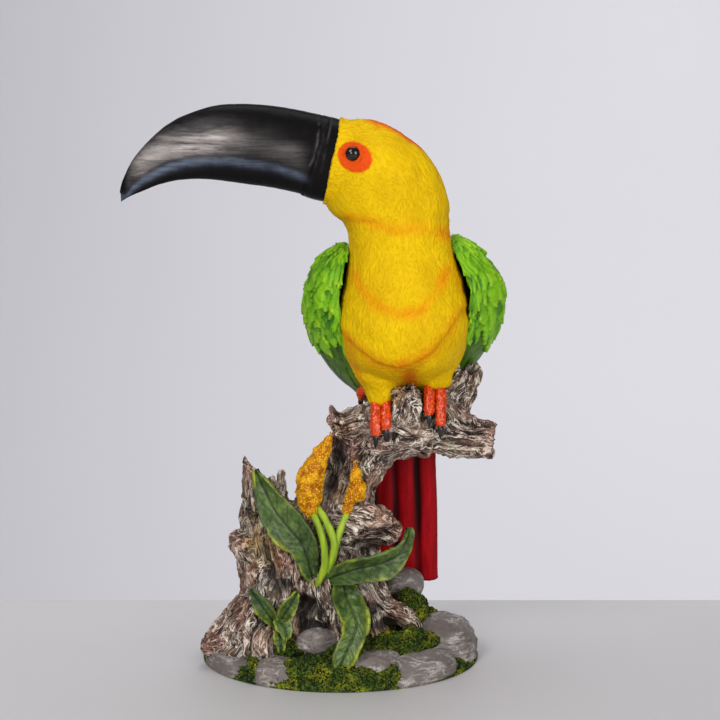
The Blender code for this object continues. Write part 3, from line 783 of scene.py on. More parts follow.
def dressToe(form):
    layers = newLayers(form, "crease")
    for vertex in form.verts:
        p = vertex.co
        pebble = pebbles(p * 0.55, 1.5)
        mark(vertex, layers, pebble)
        vertex.co = p + vertex.normal * (1.5 * math.sqrt(min(pebble, 0.7)) - 0.85)


def paintToe():
    paint = Paint("orange foot paint", footValues, 0.32, 0.3, 0.12, 0.35)
    stops = [(0.0, "crease"), (0.30, "orange"), (0.85, "light")]
    paint.base = paint.ramp(paint.layer("crease"), stops)
    paint.over(paint.grain(200).spread(0.4, 0.75), "orange")
    return paint.done(paint.grain(900, 3), 0.25, 0.0003)


def paintClaw():
    paint = Paint("black claw paint", footValues, 0.25, 0.25, 0.15, 0.3)
    paint.base = "claw"
    paint.over(paint.grain(300, 4, 0.6, (1, 1, 0.3)).spread(0.4, 0.8), "clawLight")
    return paint.done()


toeForms = []
clawForms = []
r, k = footValues["radius"], footValues["clawRadius"]
for path in toePaths:
    tip, before = Vector(path[-1]), Vector(path[-2])
    heading = (tip - before).normalized()
    inward = Vector((0, -0.35 * math.copysign(1, heading.y), -1)).normalized()
    rows = [(*point, size, size) for point, size in zip(path, [r * 0.9, r, r, r * 0.92])]
    rows.append((*(tip + heading * r * 0.75), r * 0.55, r * 0.55))
    rows.append((*(tip + heading * r * 0.98), 0, 0))
    toeForms.append(sweepForm(rows, *footValues["toeGrid"], sideways))
    clawRows = [
        (*(tip + heading * r * 0.4), k, k),
        (*(tip + heading * r * 1.2), k * 1.05, k * 1.05),
        (*(tip + heading * r * 1.6 + inward * k * 1.2), k * 0.8, k * 0.8),
        (*(tip + heading * r * 1.7 + inward * k * 3.2), 0, 0),
    ]
    clawForms.append(sweepForm(clawRows, *footValues["clawGrid"], sideways))
toesForm = joinForms(toeForms)
toesForm.normal_update()
dressToe(toesForm)
finishPiece("toes", toesForm, paintToe())
finishPiece("claws", joinForms(clawForms), paintClaw())


# stump, trunk and branch

woodValues = {
    "limbGrid": (40, 48),
    "voxel": 0.98,
    "underside": 0.6,  # the melted skin is cut flat at this height
    "ridgeAcross": 0.33,  # bark ridges per millimetre
    "ridgeAlong": 0.045,
    "ridgeHeight": 1.35,
    "grooveDepth": 3.0,  # the broad twisted grooves
    "guideSteps": 29,  # points down each limb that the bark follows
    "batch": 4000,  # vertices measured at a time
    "lie": (0.30, 0.042),  # the paint's strands, across and along
    "dark": (0.010, 0.006, 0.0045),
    "brown": (0.082, 0.047, 0.032),
    "umber": (0.200, 0.132, 0.092),
    "tan": (0.42, 0.325, 0.245),
    "cream": (0.86, 0.78, 0.68),
    # near-black painted shade in the hollows and broken ends
    "hollowShade": (0.004, 0.003, 0.002),
    "redWash": (0.62, 0.30, 0.24),
    "greenWash": (0.50, 0.62, 0.46),
    "goldWash": (0.95, 0.66, 0.26),
}
woodWashes = [  # colour, strength, low, high and noise of the thin washes
    ("redWash", 0.6, 0.46, 0.58, (24, 3)),
    ("greenWash", 0.45, 0.54, 0.64, (33, 3, 0.5, (1, 1.3, 0.8))),
    ("goldWash", 0.7, 0.56, 0.66, (30, 3, 0.5, (1.2, 0.8, 1))),
]
limbRows = {  # x, y, z, radius
    "trunk": [(-14, 4, 0, 33), (-12, 3, 30, 28), (-8, 1, 60, 23), (-4, 0, 86, 19),
              (7.5, 0, 108, 17.4), (13, 0, 128, 15), (22, 0, 147, 18.2), (31, 0, 157, 13.5)],
    "perch": [(12, 0, 152, 13), (24, 0, 154, 20.4), (45, 0, 159, 21.5), (62, 0, 160, 22),
              (74, -2, 155, 16.8), (86, -4, 151, 12.9), (100.5, -5, 150, 11.4)],
    "hollowBack": [(-14, 8, 84, 15), (-6, 9, 108, 12), (-1, 8, 130, 11), (8, 5, 150, 12),
                   (18, 0, 160, 11)],
    "leftLobe": [(26, 0, 158, 14), (12, -4, 159, 13), (3, -6, 158, 11.5), (-2, -7, 158, 10),
                 (-5, -8, 157, 8)],
    "lobeSpur": [(8, -5, 158, 9), (0, -6, 165, 5.5), (-4, -6, 170, 3.2), (-5.5, -6, 173, 1.5)],
    "lobeHump": [(22, 0, 158, 11), (14, -3, 164, 8), (11, -4, 169, 4.5)],
    "frontKnob": [(44, -2, 160, 15), (44, -12, 173, 13.5), (43.5, -18, 182, 12), (43, -21, 188, 8)],
    "uprightStub": [(66, 4, 160, 15), (75, 6, 176, 12.3), (80, 6, 187, 11), (83, 3, 193, 9.5),
                    (85, 1, 198, 8)],
    "sideKnot": [(-4, 0, 94, 18), (8, -10, 95, 18), (22, -15, 94, 14.5), (33, -17, 93, 9.5),
                 (39, -18, 94, 3.5)],
    "leftLedge": [(-46, -4, 70, 15), (-58, -9, 77, 11), (-66, -12, 83, 7.5), (-71, -14, 86, 4),
                  (-74, -14, 84, 2)],
    "leftRoot": [(-50, -8, 40, 18), (-66, -15, 24, 15), (-80, -20, 13, 12), (-89, -21, 8, 7)],
    "frontRoot": [(-48, -20, 44, 14), (-52, -31, 26, 12), (-53, -40, 12, 10), (-53, -46, 5, 6)],
    "middleRoot": [(-13, -12, 70, 13), (-12, -24, 54, 11), (-9, -31, 36, 9), (-6, -37, 20, 6),
                   (-4, -40, 8, 3)],
    "rightRoot": [(8, -1, 88, 14), (14.5, -9, 64, 13.5), (24, -17, 46, 8.5), (38, -15, 35, 6.5),
                  (49, -12, 26, 4.5), (56, -10, 20, 2)],
    "rightRootTwo": [(8, -8, 60, 13), (17, -20, 40, 9), (24, -26, 24, 7), (29, -30, 13, 4)],
    "fanRoot": [(-50, -14, 36, 15), (-62, -26, 18, 11), (-70, -33, 9, 8), (-75, -36, 5, 4)],
    "backRoot": [(-34, 18, 40, 17), (-42, 36, 20, 13), (-48, 52, 9, 9), (-50, 60, 4, 5)],
    "backRightRoot": [(0, 14, 44, 17), (6, 30, 22, 12), (12, 46, 10, 9), (16, 56, 4, 5)],
    "frontColumn": [(-40, -16, 10, 16), (-42, -18, 40, 13), (-40, -19, 68, 12), (-36, -20, 92, 9),
                    (-34, -20, 102, 4)],
    "sideColumn": [(-58, -4, 10, 14), (-57, -6, 40, 11), (-58, -6, 72, 10), (-57.5, -5, 104, 8.2),
                   (-59, -4, 120, 6.8), (-62, -3, 131, 4.4), (-65, -3, 138, 1.8)],
}
stumpGuide = [(-30, 1, 0, 36), (-30, 1, 60, 34), (-30, 1, 140, 34)]  # the bark follows this
stumpValues = {
    "middle": (-30, 1),
    "radius": 34.0,
    "wall": 6.0,
    "floor": 74.0,  # of the hollow in its top
    # height and share of the radius up the outside
    "outer": [(0, 1.40), (8, 1.34), (18, 1.22), (32, 1.10), (50, 1.02), (68, 1.0), (84, 0.98)],
    "sides": 144,
    "outerRings": 36,
    "rimRings": 14,
    "drops": (0.0, 6.0, 16.0, 26.0),  # rings down the inside, below the rim
    # height, direction and width of each spire or dip of the rim
    "spires": [(26, 181, 16), (17, 124, 8), (20, 109, 7), (8, 150, 10), (-12, 285, 40)],
}
brokenEnds = [  # middle, outward direction, radius and depth of the cup in a broken end
    ((85, 0.5, 199.5), (0.30, -0.42, 0.86), 7.0, 6.0),
    ((106, -5, 150), (0.96, -0.25, 0.05), 8.5, 1.6),
    ((-63, -2, 130), (-0.3, -0.2, 0.93), 3.0, 2.5),
]
shadeSpots = [  # x, z, half sizes, strength and depth of the hollows in the front, sunk and given painted shade
    (-3, 141, 8, 13, 1.0, 3.0), (-8, 122, 8, 11, 1.0, 3.0), (-29, 112, 7, 11, 1.0, 3.0),
    (-49, 80, 4.5, 10, 0.9, 3.0), (-46, 66, 6, 9, 0.95, 3.5), (-39, 57, 8, 6, 0.9, 3.5),
    (-25, 42, 10, 12, 1.0, 7.0), (-16, 31, 15, 6, 1.0, 5.0), (18, 82, 14, 3.5, 0.7, 1.5),
    (17, 40, 12, 6, 0.95, 4.0), (31, 31, 13, 4, 0.9, 2.0), (-61, 78, 5, 4, 0.6, 1.5),
    (5, 48, 6, 10, 0.5, 2.0), (30, 139, 12, 5, 0.45, 1.0),
]


def rimHeight(angle):
    height = 101
    for high, at, width in stumpValues["spires"]:
        height += high * hill((math.degrees(angle) - at + 180) % 360 - 180, width)
    spikes = rough(math.cos(angle) * 3.2, math.sin(angle) * 3.2, 5)
    return height + 2 * math.cos(9 * angle) + 7 * spikes


def stumpForm():
    outer, drops, radius = (stumpValues[key] for key in ("outer", "drops", "radius"))
    count, rimRings, floor = (stumpValues[key] for key in ("outerRings", "rimRings", "floor"))
    spots = np.linspace(0, len(outer) - 1, count)
    heights = np.interp(spots, range(len(outer)), [a for a, b in outer])
    shares = np.interp(spots, range(len(outer)), [b for a, b in outer])
    top = outer[-1][0]
    rings = count + rimRings + len(drops) + 1
    form = bmesh.new()
    bmesh.ops.create_uvsphere(form, u_segments=stumpValues["sides"], v_segments=rings, radius=1)
    for vertex in form.verts:
        ring, angle = sphereSpot(vertex, rings)
        c, s = math.cos(angle), math.sin(angle)
        ridge = 0.035 * math.cos(7 * angle + 1) + 0.04 * rough(c * 2, s * 2, ring * 0.08)
        edge = rimHeight(angle)
        if ring == 0:
            height, out = 0.0, 0.0
        elif ring <= count:
            height, out = heights[ring - 1], radius * (shares[ring - 1] + ridge)
        elif ring <= count + rimRings:
            climb = (ring - count) / rimRings
            height = top + (edge - top) * climb
            out = radius * (0.98 + ridge + 0.03 * climb)
        elif ring < rings:
            drop = drops[ring - count - rimRings - 1]
            height = max(edge - drop, floor) if drop < drops[-1] else floor + 2
            out = radius * (1 + ridge) - stumpValues["wall"] * (0.55 + drop / 16)
        else:
            height, out = floor, 0.0
        x, y = stumpValues["middle"]
        vertex.co = Vector((x + out * c, y + out * 0.92 * s, height))
    turnOutwards(form)
    return form


def limbGuide():  # points down each limb: place, radius, way along it, heading and number
    guide = []
    count = woodValues["guideSteps"]
    for number, rows in enumerate([*limbRows.values(), stumpGuide]):
        table = np.array(rows, float)
        last = len(table) - 1
        dense = np.array([smoothRow(table, k * last / (count - 1)) for k in range(count)])
        steps = np.linalg.norm(np.diff(dense[:, :3], axis=0), axis=1)
        way = np.concatenate([[0], np.cumsum(steps)])
        heading = np.gradient(dense[:, :3], axis=0)
        heading /= np.linalg.norm(heading, axis=1, keepdims=True)
        guide += [(*dense[k, :4], way[k], *heading[k], number) for k in range(count)]
    return np.array(guide)


def nearestLimbs(places, guide):  # the two nearest limbs of each place, and how near they are
    best = np.zeros((len(places), 2), int)
    share = np.zeros((len(places), 2))
    count, batch = woodValues["guideSteps"], woodValues["batch"]
    for start in range(0, len(places), batch):
        chunk = places[start:start + batch]
        away = np.linalg.norm(chunk[:, None, :] - guide[None, :, :3], axis=2) / guide[None, :, 3]
        perLimb = away.reshape(len(chunk), len(guide) // count, count)
        reach = perLimb.min(axis=2)
        limb = np.argsort(reach, axis=1)[:, :2]
        rowIndex = np.arange(len(chunk))[:, None]
        best[start:start + batch] = limb * count + perLimb.argmin(axis=2)[rowIndex, limb]
        share[start:start + batch] = reach[rowIndex, limb]
    return best, share


def barkPlace(place, way, heading, centre, number):  # across and along the limb, gently twisted
    offset = place - centre
    first = squareTo(heading, (0, 1, 0) if abs(heading.y) < 0.8 else (1, 0, 0))
    u, v = offset.dot(first), offset.dot(heading.cross(first))
    s = way + offset.dot(heading)
    warp = rough(u * 0.05, v * 0.05, s * 0.045 + number * 13)
    warpTwo = rough(u * 0.15 + 5, v * 0.15, s * 0.10 + number * 13)
    return Vector((u + 6.5 * warp + 2.6 * warpTwo, v + 5 * warp - 2.4 * warpTwo,
                   s + 3 * warpTwo + number * 90))


def barkHeight(place):  # broad, coarse and fine ridges
    across, along = woodValues["ridgeAcross"], woodValues["ridgeAlong"]
    u, v, s = place
    broad = crest(3.2, u * 0.11, v * 0.11, s * 0.022)
    coarse = crest(2.6, u * across, v * across, s * along)
    fine = crest(2.4, u * across * 1.9, v * across * 1.9, s * along * 2)
    return np.array([max(height, -0.5) for height in (broad, coarse, fine)])


def dressWood(form):
    layers = newLayers(form, "ridge", "hollowShade")
    lieLayer = form.verts.layers.float_vector.new("lie")
    lieAcross, lieAlong = woodValues["lie"]
    guide = limbGuide()
    best, share = nearestLimbs(np.array([vertex.co[:] for vertex in form.verts]), guide)
    for index, vertex in enumerate(form.verts):
        p = vertex.co.copy()
        mix = max(0.0, 0.5 - (share[index, 1] - share[index, 0]) * 1.6)
        heights = np.zeros(3)
        for k, weight in ((1, mix), (0, 1 - mix)):
            if weight > 0:
                row = guide[best[index, k]]
                place = barkPlace(p, row[4], Vector(row[5:8]), Vector(row[:3]), row[8])
                heights += weight * barkHeight(place)
        vertex[lieLayer] = place.x * lieAcross, place.y * lieAcross, place.z * lieAlong
        broad, coarse, fine = heights
        lump = rough(p * 0.07)
        height = 0.65 * coarse + 0.35 * fine
        lift = woodValues["ridgeHeight"] * height + woodValues["grooveDepth"] * (broad - 0.35)
        lift += 1.3 * lump - 0.9
        hollowShade = 0.0
        for x, z, wide, high, strength, depth in shadeSpots if p.y < 4 else []:
            away = math.hypot((p.x - x) / wide, (p.z - z) / high)
            if away < 1.2:
                dark = strength * (1 - ease(0.45, 1.15, away + 0.15 * lump)) * ease(4, -4, p.y)
                hollowShade = max(hollowShade, dark)
                lift -= depth * dark
        moved = p + vertex.normal * lift
        # each broken end is cupped, and its cup takes painted shade
        for middle, outward, radius, depth in brokenEnds:
            outward = Vector(outward).normalized()
            offset = p - Vector(middle)
            high = offset.dot(outward)
            wide = (offset - high * outward).length
            if high > -7 and wide < radius * 1.25:
                cup = (1 - ease(0.55, 1.0, wide / radius)) * ease(-7, -3, high)
                moved -= outward * depth * cup
                hollowShade = max(hollowShade, cup * min(1.0, depth / 4))
        vertex.co = moved
        mark(vertex, layers, clip(0.30 + 0.42 * height + 0.24 * broad + 0.06 * lump), hollowShade)


def paintWood():
    paint = Paint("painted bark", woodValues, 0.5, 0.05, 0.3, 0.22)
    lie = paint.layer("lie", "Vector")
    strands = paint.grain(0.74, 3, distortion=0.8, place=lie).lines(16)
    hairs = paint.grain(1.5, 3, distortion=0.8, place=lie).lines(15)
    # the dry-brushed tone of the bark, with no sheen in it
    brushAndSheen = paint.layer("ridge") * 0.66 + strands * 0.16 + hairs * 0.12
    brushAndSheen = brushAndSheen + (paint.grain(50) - 0.5) * 0.55 + (paint.grain(420, 4, 0.7) - 0.5) * 0.25
    stops = [(0.22, "dark"), (0.36, "brown"), (0.53, "umber"), (0.72, "tan")]
    paint.base = paint.ramp(brushAndSheen, stops)
    broken = brushAndSheen.spread(0.26, 0.44) * paint.grain(140, 4, 0.65).spread(0.38, 0.50)
    lines = strands.math("MAXIMUM", hairs * 0.62).spread(0.44, 0.62)
    paint.over(lines * broken * 0.95, "cream")
    for colour, strength, low, high, wash in woodWashes:
        paint.over(paint.grain(*wash).spread(low, high) * strength, colour, "MULTIPLY")
    # painted shade in the hollows
    paint.over(paint.layer("hollowShade") * 0.93, "hollowShade")
    relief = strands * 0.8 + hairs * 0.6 + paint.grain(700, 4, 0.7) * 0.5
    return paint.done(relief, 0.6, 0.0010)


limbForms = [roundForm(rows, *woodValues["limbGrid"]) for rows in limbRows.values()]
woodForm = meltTogether([stumpForm()] + limbForms, woodValues["voxel"], 1)
everything = woodForm.verts[:] + woodForm.edges[:] + woodForm.faces[:]
bmesh.ops.bisect_plane(woodForm, geom=everything, plane_co=(0, 0, woodValues["underside"]),
                       plane_no=down, clear_outer=True)
openEdges = [edge for edge in woodForm.edges if edge.is_boundary]
bmesh.ops.holes_fill(woodForm, edges=openEdges, sides=0)
woodForm.normal_update()
dressWood(woodForm)
for vertex in woodForm.verts:
    vertex.co.z = max(vertex.co.z, 0.4)
finishPiece("wood", woodForm, paintWood())


# mossy ground

groundValues = {
    "grid": (400, 104),
    "halfWidth": 93.0,
    "halfDepth": 74.0,
    "mossHeight": 2.6,
    "dark": (0.0035, 0.0075, 0.002),
    "green": (0.013, 0.032, 0.005),
    "light": (0.11, 0.17, 0.014),
    "yellow": (0.46, 0.43, 0.014),
}
groundRows = [  # z, share of the width, share of the depth
    (0.2, 0.0, 0.0), (0.2, 0.94, 0.97), (1.5, 0.955, 0.985), (4.0, 0.94, 0.97), (6.0, 0.90, 0.93),
    (9.0, 0.80, 0.82), (12.0, 0.66, 0.66), (15.0, 0.45, 0.45), (17.0, 0.0, 0.0),
]


def keepOnBase(place, limit=0.994):  # nothing stands out over the edge of the base
    outwards = math.hypot(place.x / groundValues["halfWidth"], place.y / groundValues["halfDepth"])
    if outwards > limit:
        place.x /= outwards / limit
        place.y /= outwards / limit
    place.z = max(place.z, 0.1)
    return place


def dressMoss(form):
    layers = newLayers(form, "strand", "heap")
    for vertex in form.verts:
        p = vertex.co.copy()
        top = ease(0.4, 3.5, p.z)
        clump = rough(p * 0.12)
        curl = crest(2.6, p * 0.40 + Vector((0, 0, 3 * clump)))
        fine = crest(2.6, p * 0.85 + Vector((4, 0, 0)))
        height = 0.45 * curl + 0.38 * fine + 0.30 * rough(p * 1.3) + 0.55 * clump
        lift = groundValues["mossHeight"] * height * (0.25 + 0.75 * top)
        vertex.co = keepOnBase(p + Vector(up).lerp(vertex.normal, 0.6) * lift)
        strand = max(0.0, crest(6, p * 0.30 + Vector((3 * clump, 8, 2))))
        mark(vertex, layers, strand * (0.3 + 0.7 * top), clip(0.5 + 0.5 * height))


def paintMoss():
    paint = Paint("moss flock", groundValues, 0.7, specular=0.15)
    curls = paint.grain(230, 2, 0.5, distortion=1.8).lines(8)
    threads = paint.grain(360, 3, distortion=1.0).lines(8)
    speck = curls * 0.5 + threads * 0.3 + paint.layer("heap") * 0.3
    paint.base = paint.ramp(speck, [(0.25, "dark"), (0.55, "green"), (0.95, "light")])
    strand = curls.spread(0.35, 0.85).math("MAXIMUM", paint.layer("strand").spread(0.4, 0.9))
    patch = paint.grain(62, 5, 0.65).spread(0.46, 0.68)
    paint.over(strand * patch * 0.95, "yellow")
    return paint.done(speck, 0.8, 0.0016)


mossPaint = paintMoss()
halfWidth, halfDepth = groundValues["halfWidth"], groundValues["halfDepth"]
placed = [(0, 0, z, wide * halfWidth, deep * halfDepth) for z, wide, deep in groundRows]
groundForm = sweepForm(placed, *groundValues["grid"], sideways, up)
dressMoss(groundForm)
finishPiece("moss_ground", groundForm, mossPaint)


# stones

stoneValues = {
    "rockGrid": (70, 56),
    "rockBoxiness": 2.4,
    "grey": (0.205, 0.174, 0.160),
    "dark": (0.080, 0.064, 0.057),
    # on the stones this colour is only the pale dry-brushed paint
    "brushedAndSheen": (0.52, 0.48, 0.45),
    "speck": (0.05, 0.042, 0.038),
}
stoneRows = [  # x, y, z, half sizes, turn, flat top and its slopes, seed, fineness
    (-71, -28, 4, 22, 21, 13, 28, 0.66, 0.10, 0.14, 1.0, 6),
    (-43, -46, 4, 17, 20, 13, 8, 0.70, -0.05, 0.16, 2.0, 5),
    (-14, -35, 21, 14.5, 10, 10, 0, 0.90, 0.0, 0.10, 3.0, 5),
    (21.5, -49, 9, 21, 14, 11, 12, 0.74, 0.08, 0.22, 4.0, 5),
    (53, -46, 5, 28, 13.5, 13, 34, 0.76, 0.06, 0.20, 5.0, 6),
    (66, -2, 7, 27, 26.5, 20.5, 20, 0.90, 0.06, 0.26, 6.0, 6),
    (-8, 56, 4, 24, 14, 12, 0, 0.62, 0, -0.1, 7.0, 5),
    (-66, 28, 4, 21, 23, 13, 20, 0.62, 0, -0.1, 8.0, 5),
]
rockRows = [  # x, y, z, half width, half depth
    (49, 26, 0.3, 0, 0), (49, 26, 1, 30, 22), (49, 27, 9, 25, 19), (45, 28, 19, 17, 15),
    (43, 29, 31, 12, 12), (43, 30, 41, 14, 12), (42, 30, 50, 11, 9), (42, 30, 53, 0, 0),
]


def stoneForm(x, y, z, halfX, halfY, halfZ, turn, top, slopeX, slopeY, seed, fineness):
    form = bmesh.new()
    bmesh.ops.create_icosphere(form, subdivisions=fineness, radius=1)
    layers = newLayers(form, "chip")
    c, s = math.cos(math.radians(turn)), math.sin(math.radians(turn))
    shift = Vector((seed * 3.7, 0, 0))
    for vertex in form.verts:
        p = vertex.co.copy()
        q = p * (1 + 0.17 * rough(p * 1.5 + shift) + 0.05 * rough(p * 4 + shift))
        flat = top + slopeX * q.x + slopeY * q.y + 0.035 * rough(q * 3 + shift)
        over = q.z - flat
        q.z = flat + 0.12 * over if over > 0 else q.z
        q.z = q.z - 0.05 * hill(over, 0.12)
        sheets = (q.z - slopeY * q.y + 0.20 * rough(q * 1.6 + shift)) * 5.0
        ledge = sheets - math.floor(sheets)
        inset = 1 - 0.055 * ease(0.60, 0.95, ledge) * ease(0.0, 0.25, flat - q.z)
        q = Vector((q.x * inset * halfX, q.y * inset * halfY, q.z * halfZ))
        crack = crest(4.0, q.x * 0.055 + seed, q.y * 0.055, q.z * 0.22)
        lift = 0.35 * rough(q * 0.35 + shift) + 0.14 * rough(q * 1.1) + 0.45 * max(0.0, crack)
        q += p.normalized() * lift
        vertex.co = keepOnBase(Vector((x + c * q.x - s * q.y, y + s * q.x + c * q.y, z + q.z)))
        chip = 0.9 * ease(0.5, 0.72, ledge) * (1 - ease(0.72, 0.9, ledge))
        mark(vertex, layers, clip(max(crack, chip)))
    turnOutwards(form)
    return form


def paintStone():
    paint = Paint("dry-brushed stone", stoneValues, 0.6, specular=0.25)
    paint.base = "dark"
    paint.over(paint.grain(50, 6, 0.65).spread(0.34, 0.62), "grey")
    paint.over(0.35, "grey")
    scratch = paint.grain(60, 6, 0.7, (0.8, 1, 2.6), 0.4).lines(24)
    scratch = scratch * paint.grain(60, 3).spread(0.46, 0.60)
    vein = paint.layer("chip").spread(0.70, 1.0) * paint.grain(80, 5, 0.7).spread(0.45, 0.62)
    paint.over(vein.math("MAXIMUM", scratch), "brushedAndSheen")
    brushAndSheen = paint.grain(190, 8, 0.75, (0.7, 1.3, 2.6)).spread(0.55, 0.74)
    paint.over(brushAndSheen * 0.25, "brushedAndSheen")
    paint.over(paint.grain(130, 6, 0.7, (0.8, 1, 2.4)).spread(0.42, 0.30) * 0.6, "dark")
    paint.over(paint.grain(800, 3, 0.7).spread(0.60, 0.68) * 0.3, "speck")
    return paint.done(paint.grain(420, 7, 0.7), 0.5, 0.0009)


stonePaint = paintStone()
finishPiece("stones", joinForms([stoneForm(*row) for row in stoneRows]), stonePaint)

rockForm = sweepForm(rockRows, *stoneValues["rockGrid"], sideways, up, stoneValues["rockBoxiness"])
layers = newLayers(rockForm, "chip")
for vertex in rockForm.verts:
    p = vertex.co.copy()
    lift = 1.6 * rough(p * 0.09) + 0.6 * rough(p * 0.3)
    vertex.co = p + vertex.normal * lift * ease(0, 4, p.z)
    mark(vertex, layers, max(0.0, crest(3, p * 0.09)))
finishPiece("tail_rock", rockForm, stonePaint)


# moss clumps between the stones

clumpRows = [  # x, y, z, half sizes
    (-56, -42, 9, 3.5, 17, 7), (-20, -54, 9, 17, 13, 7), (4, -63, 6, 24, 9, 7),
    (-34, -37, 17, 9, 6, 5), (2, -46, 15, 12, 9, 6), (42, -34, 16, 12, 7, 6),
    (50, -22, 18, 15, 7, 7), (30, -28, 18, 14, 9, 7), (56, 16, 16, 15, 12, 10),
    (48, 8, 28, 11, 11, 14), (30, 46, 12, 18, 14, 8), (64, 26, 12, 14, 16, 7),
    (-36, 48, 10, 14, 12, 7), (-80, 4, 8, 10, 13, 7), (33, -61, 6, 7, 6, 6),
    (12, -34, 17, 9, 10, 6),
]
clumpForms = []
for number, (x, y, z, halfX, halfY, halfZ) in enumerate(clumpRows):
    clump = bmesh.new()
    bmesh.ops.create_icosphere(clump, subdivisions=5 if y < 20 else 4, radius=1)
    for vertex in clump.verts:
        p = vertex.co * (1 + 0.3 * rough(vertex.co * 1.5 + Vector((number, 0, 0))))
        vertex.co = Vector((x + p.x * halfX, y + p.y * halfY, max(0.3, z + p.z * halfZ)))
    clumpForms.append(clump)
clumpForm = joinForms(clumpForms)
clumpForm.normal_update()
dressMoss(clumpForm)
finishPiece("moss_clumps", clumpForm, mossPaint)


# leaves

leafValues = {
    "grid": (30, 72),
    "smallGrid": (16, 34),
    "thickness": 2.0,
    "veins": 8,
    "deep": (0.020, 0.050, 0.009),
    "mid": (0.070, 0.125, 0.020),
    "green": (0.135, 0.205, 0.030),
    "dust": (0.16, 0.22, 0.060),
    "streaks": (0.10, 0.11, 0.075),
    "dark": (0.006, 0.017, 0.007),
    "lime": (0.33, 0.38, 0.030),
}
leafTables = {  # width direction, then x, y, z, half width and cup down the midrib
    "left_leaf": ((1, 0, 0.6), [
        (-16, -28, 59, 2.2, 0), (-19, -30, 66.5, 4.8, 1), (-21.6, -33, 77.5, 7.6, 2),
        (-26, -34, 88.5, 10, 3), (-35, -34, 99.5, 12, 3.5), (-43, -33, 110.5, 10.2, 3),
        (-49.5, -31, 124, 5.2, 2), (-54.8, -29, 136, 0.5, 0)]),
    "right_leaf": ((-0.3, -0.3, 1), [
        (-10, -30, 61, 2.5, 0), (2, -37, 68, 7.6, 2), (14, -41, 72.5, 9.6, 4),
        (27, -42, 76, 9.2, 4), (37, -40, 80.5, 7.6, 3), (42.5, -38, 88, 5, 2),
        (45.5, -36, 99, 0.6, 0)]),
    "front_leaf": ((1, 0.1, 0.2), [
        (1, -26, 63, 4, 0), (4, -38, 53, 8.6, 3), (8, -47, 46, 9.4, 4), (10.5, -52, 39.5, 8.4, 4),
        (9, -56, 32.4, 7.4, 3), (5.4, -59, 25, 7.3, 3), (2, -61, 17.5, 6.2, 2),
        (-1.5, -62.5, 10, 0.8, 0)]),
    "sprout_left": ((1, 0, 0.5), [
        (-41.5, -38, 33, 2, 0), (-47, -43, 42, 5.2, 1), (-52.5, -45, 51, 4.5, 1),
        (-58, -45, 59.5, 0.4, 0)]),
    "sprout_right": ((1, 0, -0.5), [
        (-40, -38, 34, 2, 0), (-36, -42, 42, 4.8, 1), (-31.5, -44, 50, 4.4, 1),
        (-27.5, -44, 58, 0.4, 0)]),
    "sprout_front": ((1, 0, 0), [
        (-41, -38, 38, 2.5, 0), (-38, -44, 37, 5, 1.2), (-35.5, -47, 33, 4.6, 1),
        (-34.5, -49, 27, 1, 0)]),
    "sprout_low": ((1, 0, 0), [
        (-40, -40, 31, 2, 0), (-39, -46, 28, 4.4, 1), (-38.5, -48, 23.5, 3.2, 1),
        (-38.5, -49, 19, 0.8, 0)]),
}


def leafForm(across, rows, seed, small):
    table = np.array(rows, float)
    form = bmesh.new()
    wide, long = leafValues["smallGrid" if small else "grid"]
    bmesh.ops.create_grid(form, x_segments=wide, y_segments=long, size=1)
    layers = newLayers(form, "vein", "edge")
    for vertex in form.verts:
        u, v = vertex.co.x, 0.5 + 0.5 * vertex.co.y
        out = abs(u)
        here = smoothRow(table, v * (len(table) - 1))
        heading = rowHeading(table, v * (len(table) - 1))
        wideAxis = squareTo(heading, across)
        normal = heading.cross(wideAxis)
        if normal.y > 0:
            normal = -normal
        half = max(here[3], 0.15)
        slant = v * leafValues["veins"] * (0.5 if small else 1.0) - 1.15 * out
        slant += 0.06 * rough(u * 2, v * 5, seed)
        sideVein = max(0.0, 1 - abs((slant % 1.0) - 0.5) * 9)
        sideVein *= ease(0.03, 0.2, out) * (1 - ease(0.80, 0.97, out))
        vein = max(hill(u * half, 0.75), 0.8 * sideVein)
        quilt = 0.5 - 0.5 * math.cos(2 * math.pi * slant)
        wave = 1.7 * math.sin(v * 15 + seed * 2 + (1.6 if u > 0 else 0)) * out ** 2
        crease = max(0.0, crest(5, u * half * 0.16, v * 9, seed))
        lift = here[4] * u * u + 0.8 * quilt * out * (1 - out) * 2 - 1.1 * vein
        lift += wave * (0.35 if small else 1.0)
        lift += 0.7 * rough(u * half * 0.14, v * 11, seed) - 0.45 * crease
        margin = 1 + 0.09 * rough(v * 12, math.copysign(1, u), seed)
        vertex.co = Vector(here[:3]) + wideAxis * (u * half * margin) + normal * lift
        edge = ease(0.72, 1.0, out + 0.10 * rough(u * 3, v * 9, seed + 4))
        mark(vertex, layers, max(vein, 0.45 * crease), edge)
    form.normal_update()
    if sum((face.normal for face in form.faces), Vector()).y > 0:
        bmesh.ops.reverse_faces(form, faces=form.faces)
        form.normal_update()
    bmesh.ops.solidify(form, geom=form.verts[:] + form.edges[:] + form.faces[:],
                       thickness=leafValues["thickness"] * (0.8 if small else 1))
    turnOutwards(form)
    return form


